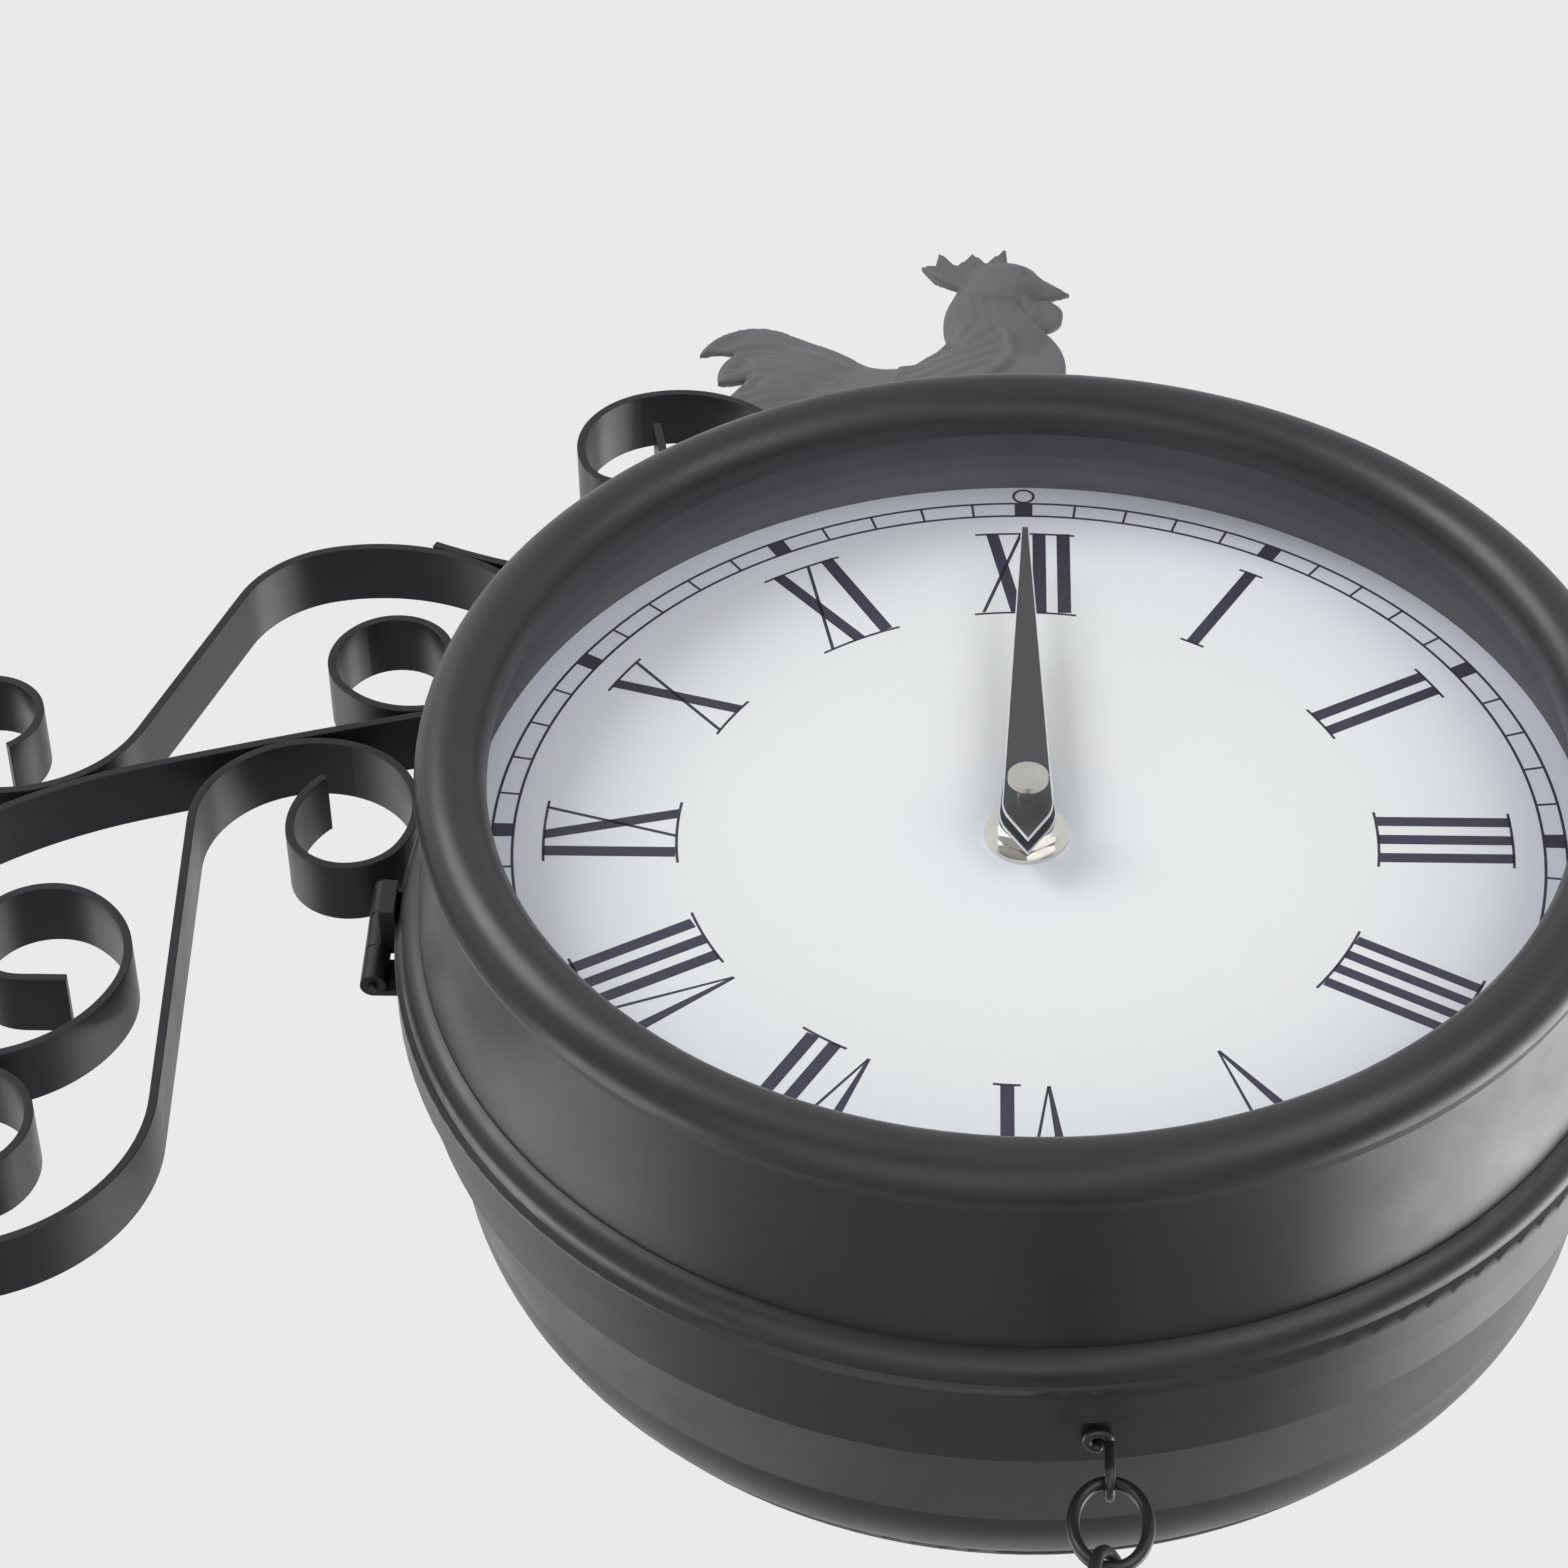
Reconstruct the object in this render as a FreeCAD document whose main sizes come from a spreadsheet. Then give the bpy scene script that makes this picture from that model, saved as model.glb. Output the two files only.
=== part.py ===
import FreeCAD, Part
import math
import os

Vector = FreeCAD.Vector
Rotation = FreeCAD.Rotation
Placement = FreeCAD.Placement

# Double sided station clock on a scrolled wall bracket, millimetres, +Z up.
# The pieces are drawn about the clock's own axis (X to the right of the front
# dial, Y away from the viewer, Z up, zero at the middle of the front dial) and
# every sub-part is then placed so that the origin of the part is the middle of
# the wall plate's back.

doc = FreeCAD.newDocument("StationClock")
sheet = doc.addObject("Spreadsheet::Sheet", "Sizes")
row_count = [0]


def size(alias, value):
    """One driving size: its name in column A, its number in column B."""
    row_count[0] += 1
    row = str(row_count[0])
    sheet.set("A" + row, alias)
    sheet.set("B" + row, str(value))
    sheet.setAlias("B" + row, alias)


# bracket straps
size("strap_wide", 12.0)
size("strap_thick", 1.5)
size("strap_mid_y", 31.0)
size("touch_gap", 0.02)
# case hoop and covers
size("hoop_inner", 101.0)
size("hoop_thick", 2.0)
size("sheet_thick", 1.0)
size("cover_opening", 88.6)
size("cover_lip_round", 5.9)
size("cover_lip_y", -17.8)
size("cover_neck_y", -15.8)
size("cover_bead_y", 12.3)
size("cover_rim_y", 17.6)
size("cover_back_gap", 0.5)
size("cover_rim_over", 3.1)
size("cover_wall_in", 3.0)
size("cover_bead_in", 1.4)
size("cover_hem_wide", 4.5)
size("rear_fit", 0.1)
size("rear_spigot", 17.5)
size("rear_fold_out", 1.0)
size("rear_shoulder_y", 57.5)
size("rear_shoulder_in", 3.1)
size("rear_shoulder_round", 22.0)
size("rear_shoulder_turn", 44.8)
size("rear_opening", 87.0)
size("rear_roll_high", 2.5)
# glazing and dials
size("glass_thick", 1.5)
size("seat_gap", 0.1)
size("edge_gap", 0.3)
size("spacer_in", 93.5)
size("spacer_thick", 2.0)
size("dial_thick", 1.0)
# movement
size("box_side", 56.0)
size("box_deep", 16.0)
size("box_round", 5.0)
size("boss_radius", 4.0)
size("boss_reach", 4.2)
size("hour_tube_radius", 2.6)
size("minute_arbor_radius", 1.55)
size("running_gap", 0.05)
size("dial_hole_gap", 0.2)
size("cell_radius", 7.1)
size("cell_long", 49.2)
size("cell_down", 16.5)
size("cell_gap", 0.4)
size("washer_radius", 7.1)
size("washer_thick", 0.8)
size("nut_across", 9.4)
size("nut_thick", 2.2)
size("knob_radius", 5.0)
size("knob_long", 3.8)
size("knob_shaft_radius", 1.5)
# hands
size("hand_thick", 0.5)
size("hour_hand_y", -5.8)
size("minute_hand_y", -8.1)
size("hour_half_wide", 4.5)
size("hour_long", 50.0)
size("hour_tail", 10.8)
size("hour_collar", 5.6)
size("minute_half_wide", 4.0)
size("minute_long", 67.0)
size("minute_tail", 10.1)
size("cap_neck_radius", 1.75)
size("cap_neck_long", 3.7)
size("cap_head_radius", 3.35)
size("cap_head_thick", 1.1)
# wall plate
size("plate_wide", 20.0)
size("plate_thick", 3.0)
size("plate_high", 234.0)
size("plate_mid_z", -2.0)
size("plate_front_x", -238.5)
size("screw_hole_radius", 2.75)
size("screw_spacing", 212.0)
size("plate_corner", 4.0)
size("arm_tail", 15.0)
size("hoop_fit_run", 4.0)
# hinge
size("hinge_off", 3.4)
size("hinge_high", 24.0)
size("barrel_radius", 2.25)
size("pin_radius", 0.7)
size("pin_fit", 0.05)
size("knuckle_gap", 0.2)
size("leaf_thick", 1.0)
size("leaf_long", 9.0)
size("clip_wide", 14.0)
# hook, chain and bell
size("hook_wire", 1.65)
size("hook_x", 12.65)
size("hook_hole_radius", 1.2)
size("hook_curl", 1.75)
size("hook_head_radius", 1.9)
size("hook_shank", 3.0)
size("hook_eye_radius", 2.6)
size("link_wire", 2.1)
size("link_wide", 13.6)
size("link_long", 18.6)
size("link_gap", 0.15)
size("bell_radius", 26.0)
size("bell_high", 40.0)
size("bell_wall", 1.4)
size("bell_loop_radius", 3.4)
size("bell_loop_wire", 2.0)
size("clapper_radius", 4.6)
size("clapper_rod_radius", 0.9)
size("clapper_long", 31.0)
# cockerel
size("bird_thick", 4.0)
size("bird_body_thick", 9.0)
size("bird_foot_wide", 10.0)
size("leg_radius", 1.6)
doc.recompute()


def v(alias):
    return float(sheet.get(alias))


HOME = Placement(
    Vector(v("plate_thick") - v("plate_front_x"), -v("strap_mid_y"), -v("plate_mid_z")),
    Rotation(),
)
NODES = []


def finish(node, name):
    """Names a finished sub-part and puts it in the frame of the part."""
    node.Label = name
    node.Placement = HOME.multiply(node.Placement)
    NODES.append(node)
    return node


def plane_of(body, role):
    for item in body.Origin.OriginFeatures:
        if item.Role == role:
            return item
    raise RuntimeError(role)


def new_body(name):
    return doc.addObject("PartDesign::Body", name + "_body")


def new_sketch(body, role, tag, offset=0.0):
    """Empty sketch on one of the body's own origin planes, offset along its normal."""
    sketch = body.newObject("Sketcher::SketchObject", tag)
    sketch.AttachmentSupport = [(plane_of(body, role), "")]
    sketch.MapMode = "FlatFace"
    sketch.AttachmentOffset = Placement(Vector(0, 0, offset), Rotation())
    return sketch


def draw(sketch, start, steps):
    """Closed outline: ("L", x, y) is a line, ("A", mx, my, x, y) an arc through a middle point."""
    here = Vector(start[0], start[1], 0)
    first = here
    for step in steps:
        there = Vector(step[-2], step[-1], 0)
        if step[0] == "L":
            sketch.addGeometry(Part.LineSegment(here, there), False)
        else:
            middle = Vector(step[1], step[2], 0)
            sketch.addGeometry(Part.Arc(here, middle, there), False)
        here = there
    if here.distanceToPoint(first) > 1e-6:
        sketch.addGeometry(Part.LineSegment(here, first), False)


def ring(sketch, x, y, radius):
    sketch.addGeometry(Part.Circle(Vector(x, y, 0), Vector(0, 0, 1), radius), False)


def turned(name, start, steps):
    """Piece turned about the clock's own axis, outline in (radius, depth)."""
    body = new_body(name)
    sketch = new_sketch(body, "XY_Plane", name + "_outline")
    draw(sketch, start, steps)
    turn = body.newObject("PartDesign::Revolution", name + "_turn")
    turn.Profile = sketch
    turn.ReferenceAxis = (sketch, ["V_Axis"])
    turn.Angle = 360
    body.Tip = turn
    return body


def extruded(name, alias, y_near, circles=(), outline=None, body=None):
    """Plate cut from the (x, z) outline, from y_near backwards by the named thickness."""
    if body is None:
        body = new_body(name)
    sketch = new_sketch(body, "XZ_Plane", name + "_outline", -y_near)
    if outline is not None:
        draw(sketch, outline[0], outline[1])
    for circle in circles:
        ring(sketch, circle[0], circle[1], circle[2])
    pad = body.newObject("PartDesign::Pad", name + "_plate")
    pad.Profile = sketch
    pad.Reversed = True
    pad.setExpression("Length", "Sizes." + alias)
    body.Tip = pad
    return body


def cylinder(tag, centre, axis, radius_alias, length, radius_plus=0.0):
    """Cylinder from its end's centre along an axis, with its radius bound to the sheet."""
    item = doc.addObject("Part::Cylinder", tag)
    item.setExpression("Radius", "Sizes.%s + %s" % (radius_alias, repr(float(radius_plus))))
    item.Height = length
    item.Placement = Placement(Vector(*centre), Rotation(Vector(0, 0, 1), Vector(*axis)))
    return item


def block(tag, low, high):
    item = doc.addObject("Part::Box", tag)
    item.Length = high[0] - low[0]
    item.Width = high[1] - low[1]
    item.Height = high[2] - low[2]
    item.Placement = Placement(Vector(*low), Rotation())
    return item


def torus_part(tag, centre, rotation, big, small_alias, low, high):
    """Bent wire: part of a torus from low to high degrees, half a wire diameter thick."""
    item = doc.addObject("Part::Torus", tag)
    item.Radius1 = big
    item.setExpression("Radius2", "Sizes.%s / 2" % small_alias)
    item.Angle3 = high - low
    turn = Rotation(Vector(0, 0, 1), low)
    item.Placement = Placement(Vector(*centre), rotation.multiply(turn))
    return item


def fused(tag, items):
    join = doc.addObject("Part::MultiFuse", tag)
    join.Shapes = items
    join.Refine = True
    return join


def cut(tag, base, tool):
    less = doc.addObject("Part::Cut", tag)
    less.Base = base
    less.Tool = tool
    less.Refine = True
    return less


# ---------------------------------------------------------------- bracket straps
def walk(start, steps):
    """Points and headings along a strap: ("line", length) or ("arc", radius, turn)."""
    x, z, heading = start
    stops = [(x, z, heading)]
    for step in steps:
        angle = math.radians(heading)
        if step[0] == "line":
            x += step[1] * math.cos(angle)
            z += step[1] * math.sin(angle)
        else:
            side = 1.0 if step[2] > 0 else -1.0
            cx = x - side * step[1] * math.sin(angle)
            cz = z + side * step[1] * math.cos(angle)
            heading += step[2]
            angle = math.radians(heading)
            x = cx + side * step[1] * math.sin(angle)
            z = cz - side * step[1] * math.cos(angle)
        stops.append((x, z, heading))
    return stops


def side_edge(step, start, shift):
    """One edge of a bent strap: its middle line moved sideways (left is plus)."""
    def moved(spot):
        angle = math.radians(spot[2])
        return (spot[0] - shift * math.sin(angle), spot[1] + shift * math.cos(angle))
    stop = walk(start, [step])[-1]
    if step[0] == "line":
        return moved(start), None, moved(stop)
    half = ("arc", step[1], step[2] / 2.0)
    middle = walk(start, [half])[-1]
    return moved(start), moved(middle), moved(stop)


def strap(name, start, ahead, behind=()):
    """Flat strap bent on edge; 'behind' is the part of its path before the start point."""
    back_start = (start[0], start[1], start[2] + 180.0)
    back_stops = walk(back_start, behind)
    path = []
    for index in range(len(behind) - 1, -1, -1):
        spot = back_stops[index + 1]
        step = behind[index]
        here = (spot[0], spot[1], spot[2] + 180.0)
        if step[0] == "line":
            path.append((here, step))
        else:
            path.append((here, ("arc", step[1], -step[2])))
    stops = walk(start, ahead)
    for index, step in enumerate(ahead):
        path.append((stops[index], step))
    body = new_body(name)
    sketch = new_sketch(body, "XZ_Plane", name + "_edge", -v("strap_mid_y"))
    half = v("strap_thick") / 2.0
    ends = []
    for shift in (half, -half):
        for here, step in path:
            first, middle, last = side_edge(step, here, shift)
            a = Vector(first[0], first[1], 0)
            b = Vector(last[0], last[1], 0)
            if middle is None:
                sketch.addGeometry(Part.LineSegment(a, b), False)
            else:
                m = Vector(middle[0], middle[1], 0)
                sketch.addGeometry(Part.Arc(a, m, b), False)
        ends.append((side_edge(path[0][1], path[0][0], shift)[0],
                     side_edge(path[-1][1], path[-1][0], shift)[2]))
    for which in (0, 1):
        a = Vector(ends[0][which][0], ends[0][which][1], 0)
        b = Vector(ends[1][which][0], ends[1][which][1], 0)
        sketch.addGeometry(Part.LineSegment(a, b), False)
    pad = body.newObject("PartDesign::Pad", name + "_strap")
    pad.Profile = sketch
    pad.Midplane = True
    pad.setExpression("Length", "Sizes.strap_wide")
    body.Tip = pad
    return body


hoop_outer = v("hoop_inner") + v("hoop_thick")
hoop_front = v("strap_mid_y") - v("strap_wide") / 2.0
hoop_back = v("strap_mid_y") + v("strap_wide") / 2.0
pitch = v("strap_thick") + v("touch_gap")
spread = pitch - 1.52

# wall plate: flat bar against the wall with a screw hole near each end
plate = doc.addObject("Part::Box", "plate_bar")
plate.setExpression("Length", "Sizes.plate_thick")
plate.setExpression("Width", "Sizes.plate_wide")
plate.setExpression("Height", "Sizes.plate_high")
plate.Placement = Placement(
    Vector(v("plate_front_x") - v("plate_thick"), v("strap_mid_y") - v("plate_wide") / 2.0,
           v("plate_mid_z") - v("plate_high") / 2.0), Rotation())
plate_round = doc.addObject("Part::Fillet", "plate_round")
plate_round.Base = plate
doc.recompute()
corner_edges = []
for number, edge in enumerate(plate.Shape.Edges, 1):
    if abs(edge.tangentAt(edge.FirstParameter).x) > 0.9:
        corner_edges.append((number, v("plate_corner"), v("plate_corner")))
plate_round.Edges = corner_edges
holes = []
for number, side in enumerate((-1.0, 1.0)):
    where = (v("plate_front_x") - v("plate_thick") - 1.0, v("strap_mid_y"),
             v("plate_mid_z") + side * v("screw_spacing") / 2.0)
    holes.append(cylinder("screw_hole_%d" % number, where, (1, 0, 0), "screw_hole_radius",
                          v("plate_thick") + 2.0))
finish(cut("wall_plate_cut", plate_round, fused("screw_holes", holes)), "wall_plate")

# support arm: from the wall plate up and over to the side of the hoop
arm_x = v("plate_front_x") + v("strap_thick") / 2.0
arm_start = (-157.6, 42.9, 198.8)
arm_bends = [("arc", 93.0, 36.4), ("arc", 210.0, 21.9)]
arm_low = walk(arm_start, arm_bends)[-1]
arm_last = (arm_low[0] - arm_x) / (1.0 + math.sin(math.radians(arm_low[2])))
arm = strap("support_arm", arm_start,
            arm_bends + [("arc", arm_last, 270.0 - arm_low[2]), ("line", v("arm_tail"))],
            [("arc", 848.0, -3.5), ("line", 29.0 + v("hoop_fit_run"))])
doc.recompute()
arm_trim = cylinder("arm_trim", (0.0, hoop_front - 5.0, 0.0), (0, 1, 0), "hoop_inner",
                    v("strap_wide") + 10.0, v("hoop_thick"))
finish(cut("support_arm_cut", arm, arm_trim), "support_arm")

# upper scroll: rests on the arm in two places and curls in at both ends
finish(strap("upper_scroll", (-144.05, 91.43 + spread, 70.0),
             [("arc", 21.8, -56.0), ("arc", 38.0, -51.0), ("arc", 20.45, -53.0),
              ("arc", 22.65, -80.5), ("arc", 16.3, -60.6), ("arc", 12.2, -92.4),
              ("arc", 10.3, -125.2)],
             [("line", 40.87), ("arc", 25.1, -67.0), ("arc", 17.9, -93.0), ("arc", 12.6, -80.7),
              ("arc", 10.1, -155.0)]), "upper_scroll")

# lower scroll: its top touches the arm from below
finish(strap("lower_scroll", (-165.85, -71.65 - spread, 17.9),
             [("arc", 33.0, 74.4), ("line", 68.5), ("arc", 20.3, -109.9), ("arc", 18.6, -99.2),
              ("arc", 10.5, -145.9), ("arc", 17.3, -51.0)],
             [("arc", 33.0, -20.0), ("arc", 15.5, -88.0), ("line", 10.8), ("arc", 15.5, -90.0),
              ("arc", 15.5, -23.5), ("arc", 12.5, -102.0), ("arc", 10.3, -77.8),
              ("arc", 9.0, -40.0)]), "lower_scroll")

# inner scroll: sits on the lower scroll's foot and reaches up to the arm
finish(strap("inner_scroll", (-178.1, -29.94, 0.0),
             [("arc", 26.5, 70.1), ("arc", 19.0, 75.4), ("arc", 12.3, 135.6), ("arc", 9.8, 78.9),
              ("line", 8.0)],
             [("arc", 23.0, -84.0), ("line", 11.15 - 1.4 * spread), ("arc", 14.0, -40.0)]),
       "inner_scroll")

# wall scroll: ties the upper end of the wall plate to the arm and the upper scroll
wall_round = 18.57 - 0.25 * spread
wall_low = 3.4 + 1.9 * spread
finish(strap("wall_scroll", (arm_x, wall_low, 90.0),
             [("line", 56.0 - wall_low), ("arc", wall_round, -90.0), ("arc", wall_round, -90.0),
              ("arc", 12.0, -130.0)],
             [("arc", 14.0, 100.0), ("arc", 10.0, 120.0)]), "wall_scroll")

# top scroll: stands on the upper scroll and carries the tail of the cockerel
finish(strap("top_scroll", (-50.2, 149.1 + 2.0 * spread, 137.4),
             [("arc", 23.0, 63.3), ("arc", 16.3, 98.6), ("arc", 7.2, 100.0), ("arc", 8.6, 62.0),
              ("line", 8.4)],
             [("arc", 25.1, -84.4), ("arc", 42.0, -70.0), ("arc", 130.0, -8.0)]), "top_scroll")

# ---------------------------------------------------------------- case
curl = v("hook_curl")
tip_x = v("hook_x") - curl
tip_y = v("strap_mid_y") + curl
tip_low = -math.sqrt(hoop_outer ** 2 - tip_x ** 2)
hoop = extruded("case_hoop", "strap_wide", hoop_front, ((0, 0, hoop_outer), (0, 0, v("hoop_inner"))))
hook_hole = cylinder("hook_hole", (tip_x, tip_y, tip_low - 3.0), (0, 0, 1), "hook_hole_radius", 8.0)
doc.recompute()
finish(cut("case_hoop_cut", hoop, hook_hole), "case_hoop")


def shell(name, start, steps):
    """Sheet metal shell: the outer outline in (radius, depth), thickened inwards and turned."""
    sketch = doc.addObject("Sketcher::SketchObject", name + "_skin")
    here = Vector(start[0], start[1], 0)
    for step in steps:
        there = Vector(step[-2], step[-1], 0)
        if step[0] == "L":
            sketch.addGeometry(Part.LineSegment(here, there), False)
        else:
            sketch.addGeometry(Part.Arc(here, Vector(step[1], step[2], 0), there), False)
        here = there
    face = doc.addObject("Part::Offset2D", name + "_sheet")
    face.Source = sketch
    face.Mode = "Skin"
    face.Join = "Arc"
    face.Fill = True
    face.setExpression("Value", "%s Sizes.sheet_thick" % SHELL_SIDE[name])
    turn = doc.addObject("Part::Revolution", name + "_turn")
    turn.Source = face
    turn.Axis = Vector(0, 1, 0)
    turn.Base = Vector(0, 0, 0)
    turn.Angle = 360.0
    turn.Solid = True
    return turn


SHELL_SIDE = {"front_cover": "-1 *", "rear_cover": "-1 *"}

rim = hoop_outer + v("cover_rim_over")
cover_back = hoop_front - v("cover_back_gap")
opening = v("cover_opening")
lip = v("cover_lip_round")
lip_y = v("cover_lip_y")
neck_y = v("cover_neck_y")
neck = hoop_outer - v("cover_wall_in")
bead_y = v("cover_bead_y")
bead = hoop_outer - v("cover_bead_in")
rim_y = v("cover_rim_y")
front_shell = shell("front_cover", (opening, lip_y + 1.8), [
    ("L", opening, lip_y),
    ("A", opening + lip, lip_y - lip, opening + 2.0 * lip, lip_y),
    ("L", neck, neck_y),
    ("A", (neck + bead) / 2.0 - 0.3, (neck_y + bead_y) / 2.0, bead, bead_y),
    ("A", bead + 0.72 * (rim - 0.9 - bead), bead_y + 0.32 * (rim_y - 0.6 - bead_y),
     rim - 0.9, rim_y - 0.6),
    ("L", rim - 0.55, rim_y),
    ("A", rim - 0.1, rim_y + 0.6, rim, rim_y + 1.4),
    ("L", rim, cover_back),
    ("L", rim - v("cover_hem_wide"), cover_back),
])
finish(front_shell, "front_cover")

spigot = v("hoop_inner") - v("rear_fit")
fold = v("hoop_inner") + v("rear_fold_out") - v("rear_fit")
shoulder_y = v("rear_shoulder_y")
shoulder = v("hoop_inner") - v("rear_shoulder_in") - v("rear_fit")
turn_deg = v("rear_shoulder_turn")
turn_round = v("rear_shoulder_round")


def shoulder_point(angle):
    angle = math.radians(angle)
    return (shoulder - turn_round + turn_round * math.cos(angle),
            shoulder_y + turn_round * math.sin(angle))


top = shoulder_point(turn_deg)
mid = shoulder_point(turn_deg / 2.0)
rear_open = v("rear_opening")
rear_shell = shell("rear_cover", (spigot, hoop_back - v("rear_spigot")), [
    ("L", spigot, hoop_back + v("touch_gap")),
    ("L", fold - 0.3, hoop_back + v("touch_gap")),
    ("A", fold, hoop_back + 0.25, fold - 0.05, hoop_back + 0.6),
    ("L", shoulder, shoulder_y),
    ("A", mid[0], mid[1], top[0], top[1]),
    ("A", (top[0] + rear_open) / 2.0, top[1] + v("rear_roll_high"), rear_open, top[1]),
])
doc.recompute()
slot_half = v("hook_head_radius") + 0.3
hook_slot = block("hook_slot",
                  (tip_x - slot_half, tip_y - slot_half, tip_low - 2.0),
                  (tip_x + slot_half, tip_y + slot_half, tip_low + 10.0))
finish(cut("rear_cover_cut", rear_shell, hook_slot), "rear_cover")

# ---------------------------------------------------------------- glazing and dials
glass_front = lip_y + 1.8 + v("seat_gap")
glass_radius = neck - v("sheet_thick") - v("edge_gap")
glass_inner = glass_front + v("glass_thick")
finish(extruded("front_glass", "glass_thick", glass_front, ((0, 0, glass_radius),)), "front_glass")
spacer_out = v("spacer_in") + v("spacer_thick")
finish(turned("front_spacer", (v("spacer_in"), glass_inner + v("seat_gap")), [
    ("L", spacer_out, glass_inner + v("seat_gap")),
    ("L", spacer_out, -v("seat_gap")),
    ("L", v("spacer_in"), -v("seat_gap")),
]), "front_spacer")
rear_glass_radius = top[0] - 1.9
rear_glass_y = top[1] - v("glass_thick") - 0.5
rear_dial_y = shoulder_y
finish(extruded("rear_glass", "glass_thick", rear_glass_y, ((0, 0, rear_glass_radius),)),
       "rear_glass")
rear_in = rear_open + 2.3
finish(turned("rear_spacer", (v("spacer_in"), rear_dial_y + v("seat_gap")), [
    ("L", v("spacer_in") + 1.5, rear_dial_y + v("seat_gap")),
    ("L", rear_in + 0.9, rear_glass_y - v("seat_gap")),
    ("L", rear_in - 0.6, rear_glass_y - v("seat_gap")),
]), "rear_spacer")

# ---------------------------------------------------------------- movement and hands
FACING = {
    "front": Placement(),
    "rear": Placement(Vector(0, rear_dial_y, 0), Rotation(Vector(0, 0, 1), 180)),
}


def hand_outline(half, length, tail, shoulder_at):
    """Long tapering blade with a straight cut tail that narrows to a point."""
    return ((-half * 0.86, -tail * 0.42), [
        ("L", 0.0, -tail),
        ("L", half * 0.86, -tail * 0.42),
        ("A", half * 1.01, -tail * 0.2, half, 0.0),
        ("L", half * 0.30, length - shoulder_at),
        ("L", 0.0, length),
        ("L", -half * 0.30, length - shoulder_at),
        ("L", -half, 0.0),
        ("A", -half * 1.01, -tail * 0.2, -half * 0.86, -tail * 0.42),
    ])


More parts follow.
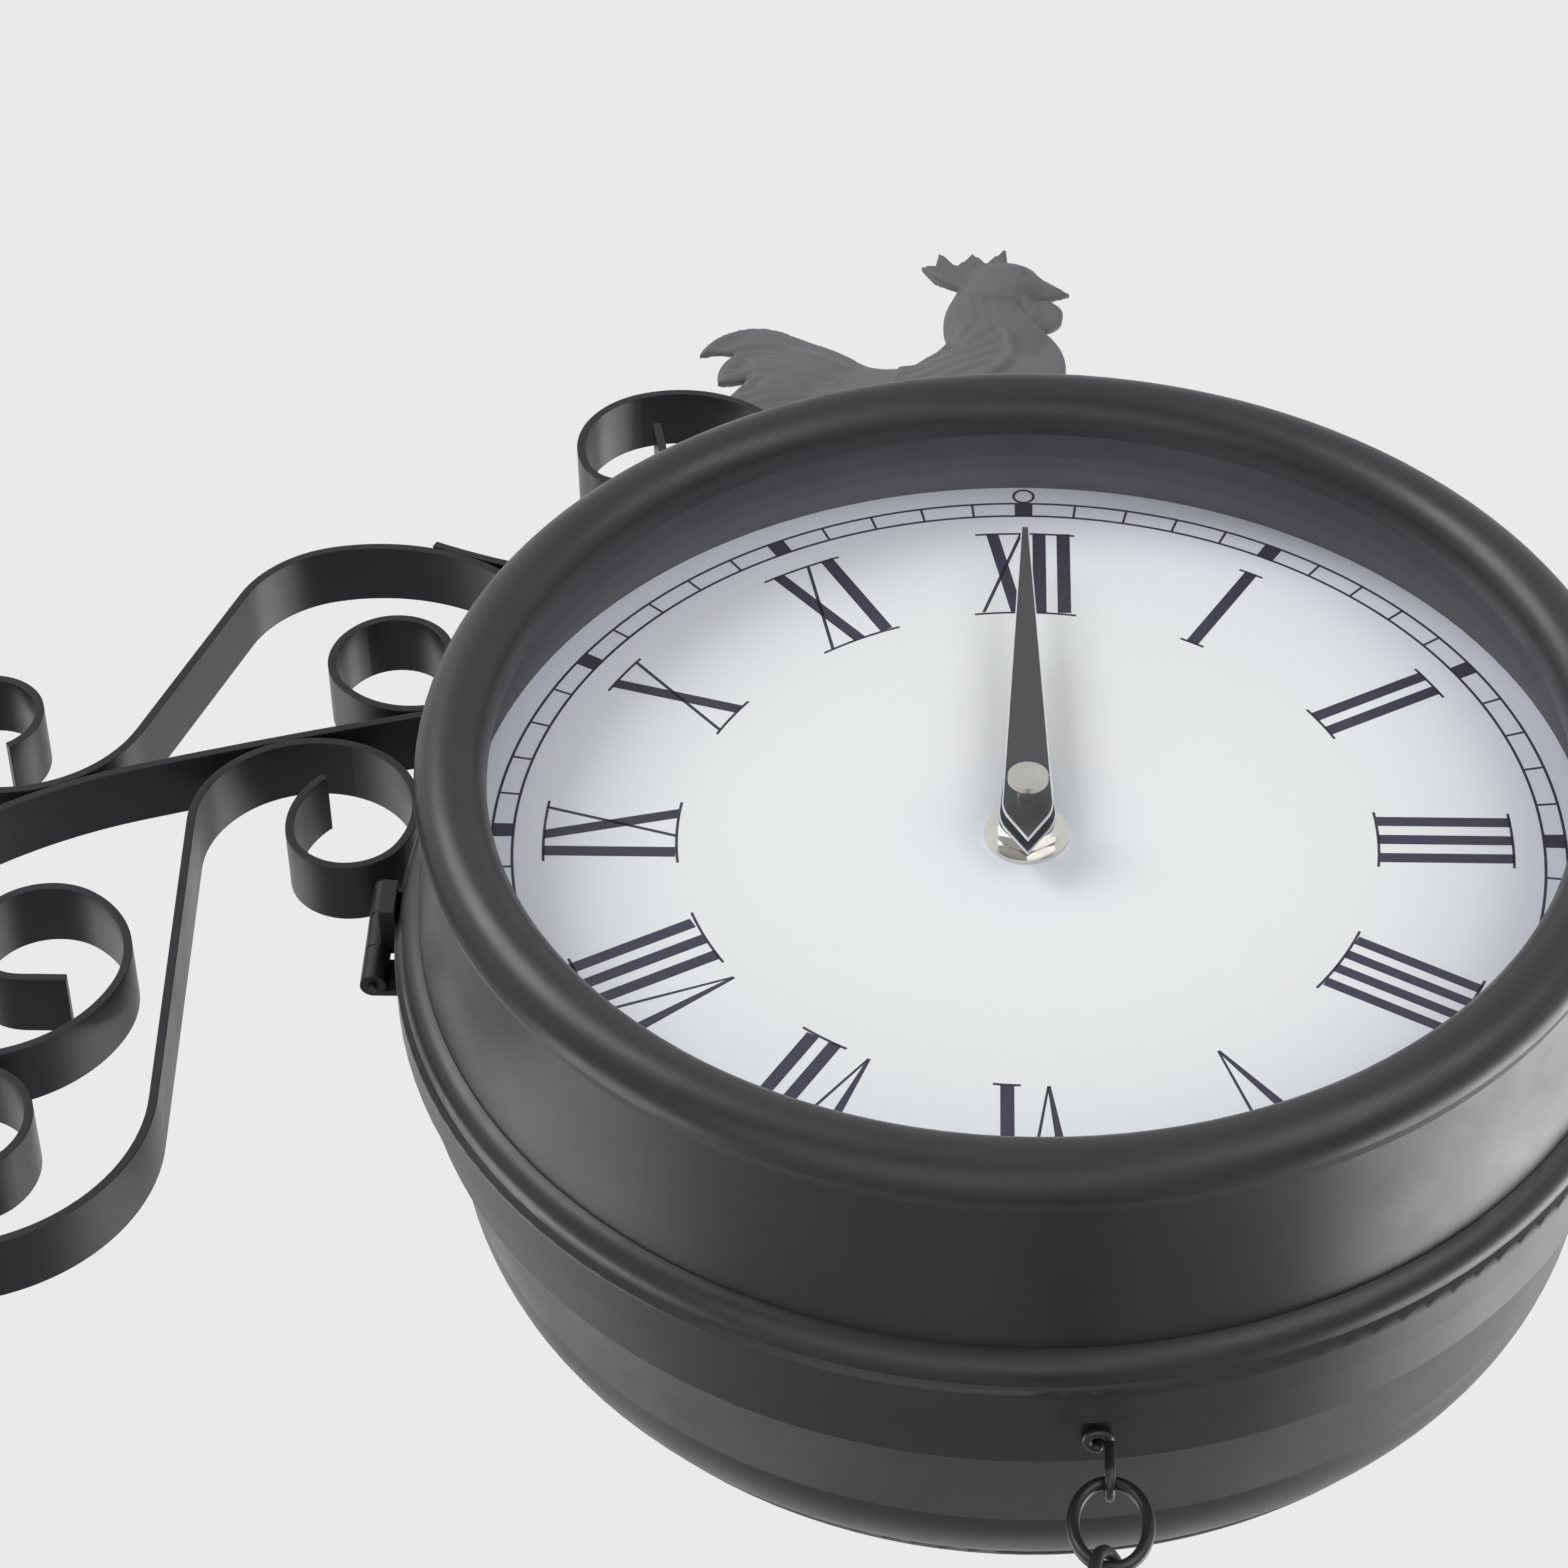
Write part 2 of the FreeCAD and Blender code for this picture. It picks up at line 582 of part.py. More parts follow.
def clockwork(side, dial_radius):
    def put(node, name):
        node.Placement = FACING[side].multiply(node.Placement)
        return finish(node, side + name)

    boss_bore = v("hour_tube_radius") + v("running_gap")
    dial_hole = v("boss_radius") + v("dial_hole_gap")
    put(extruded(side + "_dial", "dial_thick", 0.0, ((0, 0, dial_radius), (0, 0, dial_hole))),
        "_dial")
    # movement: square box with rounded corners, threaded boss and a battery bay
    box_y = v("dial_thick") + v("seat_gap")
    half = v("box_side") / 2.0
    bend = v("box_round")
    d = bend * (1.0 - math.sqrt(0.5))
    outline = ((half, -half + bend), [
        ("L", half, half - bend), ("A", half - d, half - d, half - bend, half),
        ("L", -half + bend, half), ("A", -half + d, half - d, -half, half - bend),
        ("L", -half, -half + bend), ("A", -half + d, -half + d, -half + bend, -half),
        ("L", half - bend, -half), ("A", half - d, -half + d, half, -half + bend)])
    box = extruded(side + "_box", "box_deep", box_y, (), outline)
    boss = cylinder(side + "_boss", (0, -v("boss_reach"), 0), (0, 1, 0), "boss_radius",
                    v("boss_reach") + box_y + 1.0)
    bore = cylinder(side + "_bore", (0, -v("boss_reach") - 1.0, 0), (0, 1, 0),
                    "hour_tube_radius", v("boss_reach") + box_y + 0.7 * v("box_deep"),
                    v("running_gap"))
    cell_y = box_y + v("box_deep") - v("cell_radius") - 0.2
    reach = v("cell_radius") + v("cell_gap")
    bay = block(side + "_bay",
                (-v("cell_long") / 2.0 - v("cell_gap"), cell_y - reach, -v("cell_down") - reach),
                (v("cell_long") / 2.0 + v("cell_gap"), box_y + v("box_deep") + 1.0,
                 -v("cell_down") + reach))
    knob_bore = cylinder(side + "_knob_bore", (0, box_y, 0), (0, 1, 0), "knob_shaft_radius",
                         v("box_deep") + 1.0, v("running_gap"))
    put(cut(side + "_movement_cut", fused(side + "_movement_solid", [box, boss]),
            fused(side + "_movement_cuts", [bore, bay, knob_bore])), "_movement")
    # round cell with its button
    cell = cylinder(side + "_can", (-v("cell_long") / 2.0, cell_y, -v("cell_down")), (1, 0, 0),
                    "cell_radius", v("cell_long") - 1.2)
    button = cylinder(side + "_button", (v("cell_long") / 2.0 - 1.3, cell_y, -v("cell_down")),
                      (1, 0, 0), "cell_radius", 1.3, -4.4)
    put(fused(side + "_battery_solid", [cell, button]), "_battery")
    # setting knob behind the box
    knob_y = box_y + v("box_deep") + v("knuckle_gap")
    head = cylinder(side + "_knob_head", (0, knob_y, 0), (0, 1, 0), "knob_radius",
                    v("knob_long"))
    shaft = cylinder(side + "_knob_shaft", (0, knob_y - 3.2, 0), (0, 1, 0), "knob_shaft_radius",
                     3.4)
    put(fused(side + "_knob_solid", [head, shaft]), "_set_knob")
    # washer and hexagon nut on the boss
    washer_y = -v("washer_thick") - v("touch_gap")
    put(extruded(side + "_washer", "washer_thick", washer_y,
                 ((0, 0, v("washer_radius")), (0, 0, dial_hole))), "_washer")
    across = v("nut_across") / math.sqrt(3.0)
    corners = []
    for number in range(6):
        angle = math.radians(30.0 + 60.0 * number)
        corners.append(("L", across * math.cos(angle), across * math.sin(angle)))
    nut = extruded(side + "_nut", "nut_thick", washer_y - v("nut_thick") - v("touch_gap"),
                   ((0, 0, v("boss_radius") + 0.03),),
                   ((corners[5][1], corners[5][2]), corners))
    put(nut, "_nut")
    # hour hand on its tube
    hour_y = v("hour_hand_y") - v("hand_thick")
    tube_in = v("minute_arbor_radius") + v("running_gap")
    blade = extruded(side + "_hour_blade", "hand_thick", hour_y, (),
                     hand_outline(v("hour_half_wide"), v("hour_long"), v("hour_tail"), 9.0))
    collar = cylinder(side + "_hour_collar", (0, hour_y + 0.1, 0), (0, 1, 0), "hour_tube_radius",
                      1.2, 0.9)
    tube = cylinder(side + "_hour_tube", (0, hour_y, 0), (0, 1, 0), "hour_tube_radius",
                    box_y + 3.0 - hour_y)
    hollow = cylinder(side + "_hour_hollow", (0, hour_y - 1.0, 0), (0, 1, 0),
                      "minute_arbor_radius", box_y + 6.0 - hour_y, v("running_gap"))
    put(cut(side + "_hour_cut", fused(side + "_hour_solid", [blade, collar, tube]), hollow),
        "_hour_hand")
    # minute hand on its arbor
    minute_y = v("minute_hand_y") - v("hand_thick")
    blade = extruded(side + "_minute_blade", "hand_thick", minute_y, (),
                     hand_outline(v("minute_half_wide"), v("minute_long"), v("minute_tail"), 12.0))
    arbor = cylinder(side + "_minute_arbor", (0, minute_y, 0), (0, 1, 0),
                     "minute_arbor_radius", box_y + 3.0 - minute_y)
    collar = cylinder(side + "_minute_collar", (0, minute_y + 0.1, 0), (0, 1, 0),
                      "minute_arbor_radius", 1.3, 0.9)
    put(fused(side + "_minute_solid", [blade, arbor, collar]), "_minute_hand")
    # brass cap nut that holds the minute hand
    neck_y_near = minute_y - v("cap_neck_long")
    stem = cylinder(side + "_cap_stem", (0, neck_y_near, 0), (0, 1, 0), "cap_neck_radius",
                    v("cap_neck_long") - v("touch_gap"))
    button = cylinder(side + "_cap_button", (0, neck_y_near - v("cap_head_thick"), 0), (0, 1, 0),
                      "cap_head_radius", v("cap_head_thick"))
    put(fused(side + "_cap_solid", [stem, button]), "_hand_cap")
    return tube_in, boss_bore


clockwork("front", neck - v("sheet_thick"))
clockwork("rear", shoulder - v("sheet_thick") - v("edge_gap"))

# ---------------------------------------------------------------- hinge at nine o'clock
axis_x = -rim - v("hinge_off")
axis_y = hoop_front
barrel = v("barrel_radius")
half_high = v("hinge_high") / 2.0
third = v("hinge_high") / 6.0
leaf = v("leaf_thick")
gap = v("knuckle_gap")
case_pieces = []
for number, low in enumerate((-half_high, third + gap)):
    high = low + half_high - third - gap
    case_pieces.append(cylinder("case_knuckle_%d" % number, (axis_x, axis_y, low), (0, 0, 1),
                                "barrel_radius", high - low))
    case_pieces.append(block("case_web_%d" % number, (axis_x, axis_y + barrel - leaf, low),
                             (-hoop_outer - leaf * 0.5, axis_y + barrel, high)))
case_pieces.append(block("case_leaf", (-hoop_outer - leaf, axis_y + barrel - leaf, -half_high),
                         (-hoop_outer + 2.0, axis_y + barrel + v("leaf_long"), half_high)))
case_tools = [
    cylinder("case_seat", (0, hoop_front - 3.0, 0), (0, 1, 0), "hoop_inner",
             v("strap_wide") + 6.0, v("hoop_thick")),
    cylinder("case_eye", (axis_x, axis_y, -half_high - 1.0), (0, 0, 1), "pin_radius",
             v("hinge_high") + 2.0, v("touch_gap")),
    cylinder("case_room", (axis_x, axis_y, -third - gap), (0, 0, 1), "barrel_radius",
             2.0 * (third + gap), 0.25),
]
finish(cut("hinge_case_cut", fused("hinge_case_solid", case_pieces),
           fused("hinge_case_tools", case_tools)), "hinge_case_leaf")
cover_pieces = [
    cylinder("cover_knuckle", (axis_x, axis_y, -third), (0, 0, 1), "barrel_radius", 2.0 * third),
    block("cover_leaf", (axis_x + barrel - leaf - 0.6, cover_back - v("leaf_long"), -third),
          (-rim + 3.0, axis_y, third)),
]
cover_tools = [
    cylinder("cover_seat", (0, cover_back - 20.0, 0), (0, 1, 0), "hoop_inner", 25.0,
             v("hoop_thick") + v("cover_rim_over")),
    cylinder("cover_eye", (axis_x, axis_y, -third - 1.0), (0, 0, 1), "pin_radius",
             2.0 * third + 2.0, v("pin_fit")),
]
finish(cut("hinge_cover_cut", fused("hinge_cover_solid", cover_pieces),
           fused("hinge_cover_tools", cover_tools)), "hinge_cover_leaf")
pin = cylinder("hinge_pin_rod", (axis_x, axis_y, -half_high - 1.0), (0, 0, 1), "pin_radius",
               v("hinge_high") + 2.0)
finish(pin, "hinge_pin")

# spring clip at three o'clock: a strip on the hoop that grips the cover's rim
clip_half = v("clip_wide") / 2.0
clip_x = rim + v("running_gap") * 2.0
clip = fused("cover_clip_solid", [
    block("clip_foot", (hoop_outer - 2.0, hoop_front + 3.0, -clip_half),
          (clip_x + leaf, hoop_front + 9.0, clip_half)),
    block("clip_tongue", (clip_x, cover_back - 5.0, -clip_half),
          (clip_x + leaf, hoop_front + 9.0, clip_half)),
])
clip_seat = cylinder("clip_seat", (0, hoop_front - 3.0, 0), (0, 1, 0), "hoop_inner",
                     v("strap_wide") + 6.0, v("hoop_thick"))
finish(cut("cover_clip_cut", clip, clip_seat), "cover_clip")

# ---------------------------------------------------------------- hook, chain and bell
mid_y = v("strap_mid_y")
hx = v("hook_x")


def upright(angle):
    """Turns a flat ring to stand upright, its plane at an angle from the X axis."""
    c = math.cos(math.radians(angle))
    s = math.sin(math.radians(angle))
    return Rotation(Vector(c, s, 0), Vector(0, 0, 1), Vector(s, -c, 0), "XYZ")


def rod(tag, x, y, low, high, alias):
    """Straight upright wire, its diameter bound to the sheet."""
    item = doc.addObject("Part::Cylinder", tag)
    item.setExpression("Radius", "Sizes.%s / 2" % alias)
    item.Height = high - low
    item.Placement = Placement(Vector(x, y, low), Rotation())
    return item


eye = v("hook_eye_radius")
half_wire = v("hook_wire") / 2.0
curl_left = hx - 2.0 * curl - half_wire
curl_z = -math.sqrt(hoop_outer ** 2 - curl_left ** 2) - half_wire - v("touch_gap")
head_right = tip_x + v("hook_head_radius")
head_z = -math.sqrt(v("hoop_inner") ** 2 - head_right ** 2) + v("touch_gap")
eye_y = mid_y + eye
eye_z = curl_z - v("hook_shank") - eye
bends = []
for number, (x, y) in enumerate(((hx, mid_y), (tip_x, tip_y))):
    bend = doc.addObject("Part::Sphere", "hook_bend_%d" % number)
    bend.Radius = half_wire + 0.01
    bend.Placement = Placement(Vector(x, y, curl_z), Rotation())
    bends.append(bend)
finish(fused("hook_solid", [
    rod("hook_tip", tip_x, tip_y, curl_z, head_z + 0.5, "hook_wire"),
    cylinder("hook_head", (tip_x, tip_y, head_z), (0, 0, 1), "hook_head_radius", 0.9),
    torus_part("hook_curl", (tip_x, mid_y, curl_z), Rotation(), curl, "hook_wire", 90.0, 360.0),
    rod("hook_shank", hx, mid_y, eye_z, curl_z, "hook_wire"),
    torus_part("hook_eye", (hx, eye_y, eye_z), upright(90.0), eye, "hook_wire", -180.0, 150.0),
] + bends), "chain_hook")


def chain_link(name, plane, top_z):
    """Oval wire link hanging from top_z, the height of its upper wire's middle."""
    half_wide = (v("link_wide") - v("link_wire")) / 2.0
    drop = v("link_long") - v("link_wire") - 2.0 * half_wide
    turn = upright(plane)
    side = turn.multVec(Vector(half_wide, 0, 0))
    high = top_z - half_wide
    low = high - drop
    return finish(fused(name + "_wire", [
        torus_part(name + "_upper", (hx, eye_y, high), turn, half_wide, "link_wire", 0.0, 180.0),
        torus_part(name + "_lower", (hx, eye_y, low), turn, half_wide, "link_wire", 180.0, 360.0),
        rod(name + "_right", hx + side.x, eye_y + side.y, low, high, "link_wire"),
        rod(name + "_left", hx - side.x, eye_y - side.y, low, high, "link_wire"),
    ]), name)


PLANES = (0.0, 60.0, 150.0)
hang_z = eye_z - eye + (v("hook_wire") + v("link_wire")) / 2.0 + v("link_gap")
for number, plane in enumerate(PLANES):
    chain_link("chain_link_%d" % (number + 1), plane, hang_z)
    low_z = hang_z - v("link_long") + v("link_wire")
    hang_z = low_z + v("link_wire") + v("link_gap")
    if number < 2:
        continue
    hang_z = low_z + (v("link_wire") + v("bell_loop_wire")) / 2.0 + v("link_gap")
loop = v("bell_loop_radius")
crown_z = hang_z - 2.0 * loop - 0.3 * v("bell_loop_wire")
mouth = v("bell_radius")
high = v("bell_high")
wall = v("bell_wall")
bell = new_body("bell")
bell_sketch = new_sketch(bell, "XZ_Plane", "bell_outline")
draw(bell_sketch, (0.0, 0.0), [
    ("L", 0.27 * mouth, 0.0),
    ("A", 0.52 * mouth, -0.08 * high, 0.60 * mouth, -0.25 * high),
    ("A", 0.69 * mouth, -0.69 * high, mouth, -high),
    ("L", mouth - wall, -high),
    ("A", 0.69 * mouth - wall, -0.69 * high - 0.2 * wall, 0.60 * mouth - wall, -0.25 * high),
    ("A", 0.50 * mouth - wall, -0.08 * high - wall, 0.27 * mouth - wall, -wall),
    ("L", 0.0, -wall),
])
bell_turn = bell.newObject("PartDesign::Revolution", "bell_turn")
bell_turn.Profile = bell_sketch
bell_turn.ReferenceAxis = (bell_sketch, ["V_Axis"])
bell_turn.Angle = 360
bell.Tip = bell_turn
bell.Placement = Placement(Vector(hx, eye_y, crown_z), Rotation())
bell_plane = PLANES[1]
staple = 0.7 * loop
staple_z = crown_z - wall - staple + 0.4
finish(fused("bell_solid", [
    bell,
    torus_part("bell_loop", (hx, eye_y, hang_z - loop), upright(bell_plane), loop,
               "bell_loop_wire", 0.0, 360.0),
    torus_part("bell_staple", (hx, eye_y, staple_z), upright(bell_plane), staple,
               "hook_wire", 0.0, 360.0),
]), "bell")
clapper_top = staple_z - staple + v("hook_wire") + v("link_gap")
clapper_eye_z = clapper_top - staple
ball_z = clapper_top - v("clapper_long")
ball = doc.addObject("Part::Sphere", "clapper_ball")
ball.setExpression("Radius", "Sizes.clapper_radius")
ball.Placement = Placement(Vector(hx, eye_y, ball_z), Rotation())
finish(fused("clapper_solid", [
    torus_part("clapper_eye", (hx, eye_y, clapper_eye_z), upright(PLANES[2]), staple,
               "hook_wire", 0.0, 360.0),
    cylinder("clapper_rod", (hx, eye_y, ball_z), (0, 0, 1), "clapper_rod_radius",
             clapper_eye_z - staple - ball_z),
    ball,
]), "bell_clapper")

# ---------------------------------------------------------------- cockerel
bird = new_body("cockerel")
bird_sketch = new_sketch(bird, "XZ_Plane", "cockerel_outline", -mid_y)
tail_x = -56.5
ring_x, ring_z = (-65.77, 132.17 + 2.0 * spread)
ring_r = 23.0 + v("strap_thick") / 2.0 + v("touch_gap")
tail_z = ring_z + math.sqrt(ring_r ** 2 - (tail_x - ring_x) ** 2)
draw(bird_sketch, (10.6, 196.6), [
    ("L", 6.0, 194.1),
    ("A", 10.2, 191.0, 9.7, 187.7),
    ("A", 8.6, 184.6, 5.3, 183.5),
    ("A", 9.6, 176.5, 9.3, 168.8),
    ("A", 5.5, 152.5, -6.5, 143.0),
    ("A", -19.0, 137.5, -31.0, 145.0),
    ("A", -43.0, 152.0, tail_x, tail_z),
    ("A", -57.8, 158.6, -55.9, 162.7),
    ("L", -59.2, 166.0),
    ("A", -57.0, 167.9, -53.9, 167.7),
    ("A", -59.6, 170.4, -63.2, 175.2),
    ("A", -60.2, 177.3, -56.7, 176.7),
    ("L", -59.6, 180.7),
    ("A", -56.6, 183.2, -52.7, 183.5),
    ("A", -46.6, 183.2, -41.8, 180.2),
    ("A", -37.0, 174.6, -31.0, 171.0),
    ("L", -26.2, 170.0),
    ("A", -18.0, 172.2, -13.9, 178.5),
    ("L", -14.8, 187.0),
    ("A", -16.2, 193.5, -15.4, 200.0),
    ("L", -19.4, 206.0),
    ("L", -16.0, 210.3),
    ("L", -12.6, 206.8),
    ("L", -9.2, 210.0),
    ("L", -5.8, 207.2),
    ("L", -2.3, 211.9),
    ("L", 0.6, 207.3),
    ("A", 1.6, 203.2, 4.2, 199.6),
])
bird_pad = bird.newObject("PartDesign::Pad", "cockerel_flat")
bird_pad.Profile = bird_sketch
bird_pad.Midplane = True
bird_pad.setExpression("Length", "Sizes.bird_thick")
bird.Tip = bird_pad


def swell(tag, x, z, half_long, half_high, tilt):
    """Raised rounded part of the casting, the same on both faces."""
    item = doc.addObject("Part::Ellipsoid", tag)
    item.Radius2 = half_long
    item.Radius3 = half_high
    item.setExpression("Radius1", "Sizes.bird_body_thick / 2")
    item.Angle1 = -90
    item.Angle2 = 90
    item.Angle3 = 360
    lean = Rotation(Vector(0, 1, 0), tilt)
    item.Placement = Placement(Vector(x, mid_y, z), lean.multiply(Rotation(Vector(1, 0, 0), 90)))
    return item


foot_x = -14.0
foot_ring = extruded("cockerel_foot", "bird_foot_wide", mid_y - v("bird_foot_wide") / 2.0,
                     ((0, 0, hoop_outer + 2.2), (0, 0, hoop_outer + v("touch_gap"))))
foot_block = block("cockerel_foot_block", (foot_x - 18.0, mid_y - 10.0, 0.5 * hoop_outer),
                   (foot_x + 16.0, mid_y + 10.0, hoop_outer + 10.0))
foot = doc.addObject("Part::Common", "cockerel_foot_plate")
foot.Base = foot_ring
foot.Tool = foot_block
legs = []
for number, leg_x in enumerate((foot_x - 9.0, foot_x + 3.0)):
    legs.append(cylinder("cockerel_leg_%d" % number, (leg_x, mid_y, hoop_outer - 1.0 + number * 0.5),
                         (0, 0, 1), "leg_radius", 46.0))
finish(fused("cockerel_solid", [
    bird, foot,
    swell("cockerel_breast", -9.0, 160.0, 17.0, 14.5, 35.0),
    swell("cockerel_head", -4.5, 197.0, 7.6, 6.8, 0.0),
] + legs), "cockerel")

# ---------------------------------------------------------------- checks and files
doc.recompute()
bad = []
for item in doc.Objects:
    if "Invalid" in item.State or "Error" in item.State:
        bad.append(item.Name)
for node in NODES:
    shape = node.Shape
    if shape.isNull() or not shape.isValid() or len(shape.Solids) != 1:
        bad.append("%s (%d solids)" % (node.Label, len(shape.Solids)))
if bad:
    raise RuntimeError("failed: " + ", ".join(bad))
os.makedirs("parts", exist_ok=True)
for node in NODES:
    node.Shape.exportStep("parts/%s.step" % node.Label)
print("%d pieces, crown %.2f, hang %.2f" % (len(NODES), crown_z, hang_z))
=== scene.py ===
import math
import bpy
import bmesh
import numpy as np
from mathutils import Matrix, Vector
from mathutils.geometry import delaunay_2d_cdt


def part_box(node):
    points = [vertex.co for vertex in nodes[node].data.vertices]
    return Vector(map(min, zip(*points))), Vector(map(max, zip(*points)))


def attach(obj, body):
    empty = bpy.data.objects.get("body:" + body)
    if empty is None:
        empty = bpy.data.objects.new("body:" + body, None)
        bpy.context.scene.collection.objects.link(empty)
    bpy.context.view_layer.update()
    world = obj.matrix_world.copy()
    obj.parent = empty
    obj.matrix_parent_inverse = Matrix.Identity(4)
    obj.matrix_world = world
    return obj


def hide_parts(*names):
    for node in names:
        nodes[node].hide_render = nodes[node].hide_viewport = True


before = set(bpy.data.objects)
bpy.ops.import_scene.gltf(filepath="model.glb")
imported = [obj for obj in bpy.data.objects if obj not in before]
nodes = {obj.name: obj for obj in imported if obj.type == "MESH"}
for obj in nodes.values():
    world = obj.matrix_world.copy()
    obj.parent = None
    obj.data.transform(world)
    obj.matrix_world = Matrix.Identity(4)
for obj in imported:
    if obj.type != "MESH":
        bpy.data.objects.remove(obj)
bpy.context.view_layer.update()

lo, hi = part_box("front_dial")
DIAL = Vector(((lo.x + hi.x) / 2, lo.y, (lo.z + hi.z) / 2))
lo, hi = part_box("rear_dial")
REAR = Vector(((lo.x + hi.x) / 2, hi.y, (lo.z + hi.z) / 2))
MM = 0.001
REAR_SCALE = 0.93


# ------------------------------------------------------------------ materials
def new_mat(name):
    mat = bpy.data.materials.new(name)
    mat.use_nodes = True
    tree = mat.node_tree
    tree.nodes.clear()
    out = tree.nodes.new("ShaderNodeOutputMaterial")
    shader = tree.nodes.new("ShaderNodeBsdfPrincipled")
    tree.links.new(shader.outputs[0], out.inputs[0])
    return mat, tree, shader


def coords(tree):
    node = tree.nodes.new("ShaderNodeTexCoord")
    return node.outputs["Object"]


def noise(tree, scale, detail=3.0, rough=0.55, where=None):
    node = tree.nodes.new("ShaderNodeTexNoise")
    node.inputs["Scale"].default_value = scale
    node.inputs["Detail"].default_value = detail
    node.inputs["Roughness"].default_value = rough
    tree.links.new(where or coords(tree), node.inputs["Vector"])
    return node.outputs["Fac"]


def ramp(tree, fac, stops):
    node = tree.nodes.new("ShaderNodeValToRGB")
    els = node.color_ramp.elements
    while len(els) < len(stops):
        els.new(0.5)
    for el, (pos, col) in zip(els, stops):
        el.position = pos
        el.color = (*col, 1) if len(col) == 3 else (col[0],) * 3 + (1,)
    tree.links.new(fac, node.inputs["Fac"])
    return node.outputs["Color"]


def remap(tree, fac, low, high, a=0.3, b=0.7):
    node = tree.nodes.new("ShaderNodeMapRange")
    node.inputs["From Min"].default_value = a
    node.inputs["From Max"].default_value = b
    node.inputs["To Min"].default_value = low
    node.inputs["To Max"].default_value = high
    tree.links.new(fac, node.inputs["Value"])
    return node.outputs["Result"]


def bump(tree, shader, heights):
    last = None
    for fac, strength, distance in heights:
        node = tree.nodes.new("ShaderNodeBump")
        node.inputs["Strength"].default_value = strength
        node.inputs["Distance"].default_value = distance
        tree.links.new(fac, node.inputs["Height"])
        if last is not None:
            tree.links.new(last, node.inputs["Normal"])
        last = node.outputs["Normal"]
    tree.links.new(last, shader.inputs["Normal"])


def rounded(tree, radius):
    node = tree.nodes.new("ShaderNodeBevel")
    node.samples = 4
    node.inputs["Radius"].default_value = radius
    return node.outputs["Normal"]


def paint(name, dark, light, rough, grain=900.0, depth=0.00002, edge=0.0, gloss=0.5):
    """Baked satin paint: slight tone drift and fine orange peel."""
    mat, tree, shader = new_mat(name)
    where = coords(tree)
    drift = noise(tree, 22.0, 3.0, 0.5, where)
    colour = ramp(tree, drift, ((0.3, dark), (0.7, light)))
    tree.links.new(colour, shader.inputs["Base Color"])
    tree.links.new(remap(tree, noise(tree, 60.0, 4.0, 0.6, where), rough - 0.04, rough + 0.06),
                   shader.inputs["Roughness"])
    shader.inputs["Specular IOR Level"].default_value = gloss
    fine = noise(tree, grain, 2.0, 0.5, where)
    wave = noise(tree, grain / 7.0, 2.0, 0.5, where)
    heights = [(fine, 0.35, depth), (wave, 0.5, depth * 2.0)]
    bump(tree, shader, heights)
    if edge:
        first = [n for n in tree.nodes if n.type == "BUMP"][0]
        tree.links.new(rounded(tree, edge), first.inputs["Normal"])
    return mat


def metal(name, colour, rough, grain=700.0):
    mat, tree, shader = new_mat(name)
    where = coords(tree)
    tone = noise(tree, 180.0, 3.0, 0.6, where)
    dark = tuple(c * 0.86 for c in colour)
    tree.links.new(ramp(tree, tone, ((0.3, dark), (0.7, colour))), shader.inputs["Base Color"])
    shader.inputs["Metallic"].default_value = 1.0
    tree.links.new(remap(tree, noise(tree, grain, 3.0, 0.6, where), rough * 0.8, rough * 1.3),
                   shader.inputs["Roughness"])
    bump(tree, shader, [(noise(tree, grain, 3.0, 0.6, where), 0.2, 0.00001)])
    return mat


def plastic(name, colour, rough):
    mat, tree, shader = new_mat(name)
    where = coords(tree)
    tone = noise(tree, 90.0, 2.0, 0.5, where)
    dark = tuple(c * 0.9 for c in colour)
    tree.links.new(ramp(tree, tone, ((0.35, dark), (0.65, colour))), shader.inputs["Base Color"])
    tree.links.new(remap(tree, noise(tree, 400.0, 2.0, 0.5, where), rough, rough + 0.08),
                   shader.inputs["Roughness"])
    bump(tree, shader, [(noise(tree, 1500.0, 2.0, 0.5, where), 0.25, 0.00002)])
    return mat


def dial_face_with_painted_shade(name, centre, scale):
    """White enamel face with painted shade: a cold lavender grey towards the rim where the case
    shades it, and about the middle where the hands shade it.
    """
    mat, tree, shader = new_mat(name)
    where = coords(tree)
    shift = tree.nodes.new("ShaderNodeVectorMath")
    shift.operation = "SUBTRACT"
    tree.links.new(where, shift.inputs[0])
    shift.inputs[1].default_value = centre
    flat = tree.nodes.new("ShaderNodeVectorMath")
    flat.operation = "MULTIPLY"
    flat.inputs[1].default_value = (1, 0, 1)
    tree.links.new(shift.outputs[0], flat.inputs[0])
    length = tree.nodes.new("ShaderNodeVectorMath")
    length.operation = "LENGTH"
    tree.links.new(flat.outputs[0], length.inputs[0])
    radius = remap(tree, length.outputs["Value"], 0.0, 1.0, 0.0, 0.1 * scale)
    # painted shade: lavender grey about the middle under the hands, white between, and a darker,
    # bluer lavender grey towards the rim under the case
    colour = ramp(tree, radius, (
        (0.0, (0.82, 0.83, 0.90)), (0.13, (0.86, 0.865, 0.90)), (0.22, (0.88, 0.88, 0.885)),
        (0.55, (0.88, 0.88, 0.88)), (0.70, (0.88, 0.885, 0.91)), (0.82, (0.88, 0.885, 0.94)),
        (0.93, (0.86, 0.865, 0.95)), (1.0, (0.83, 0.84, 0.93))))
    tree.links.new(colour, shader.inputs["Base Color"])
    tree.links.new(remap(tree, noise(tree, 500.0, 2.0, 0.5, where), 0.5, 0.6),
                   shader.inputs["Roughness"])
    bump(tree, shader, [(noise(tree, 2500.0, 2.0, 0.5, where), 0.2, 0.00001)])
    return mat


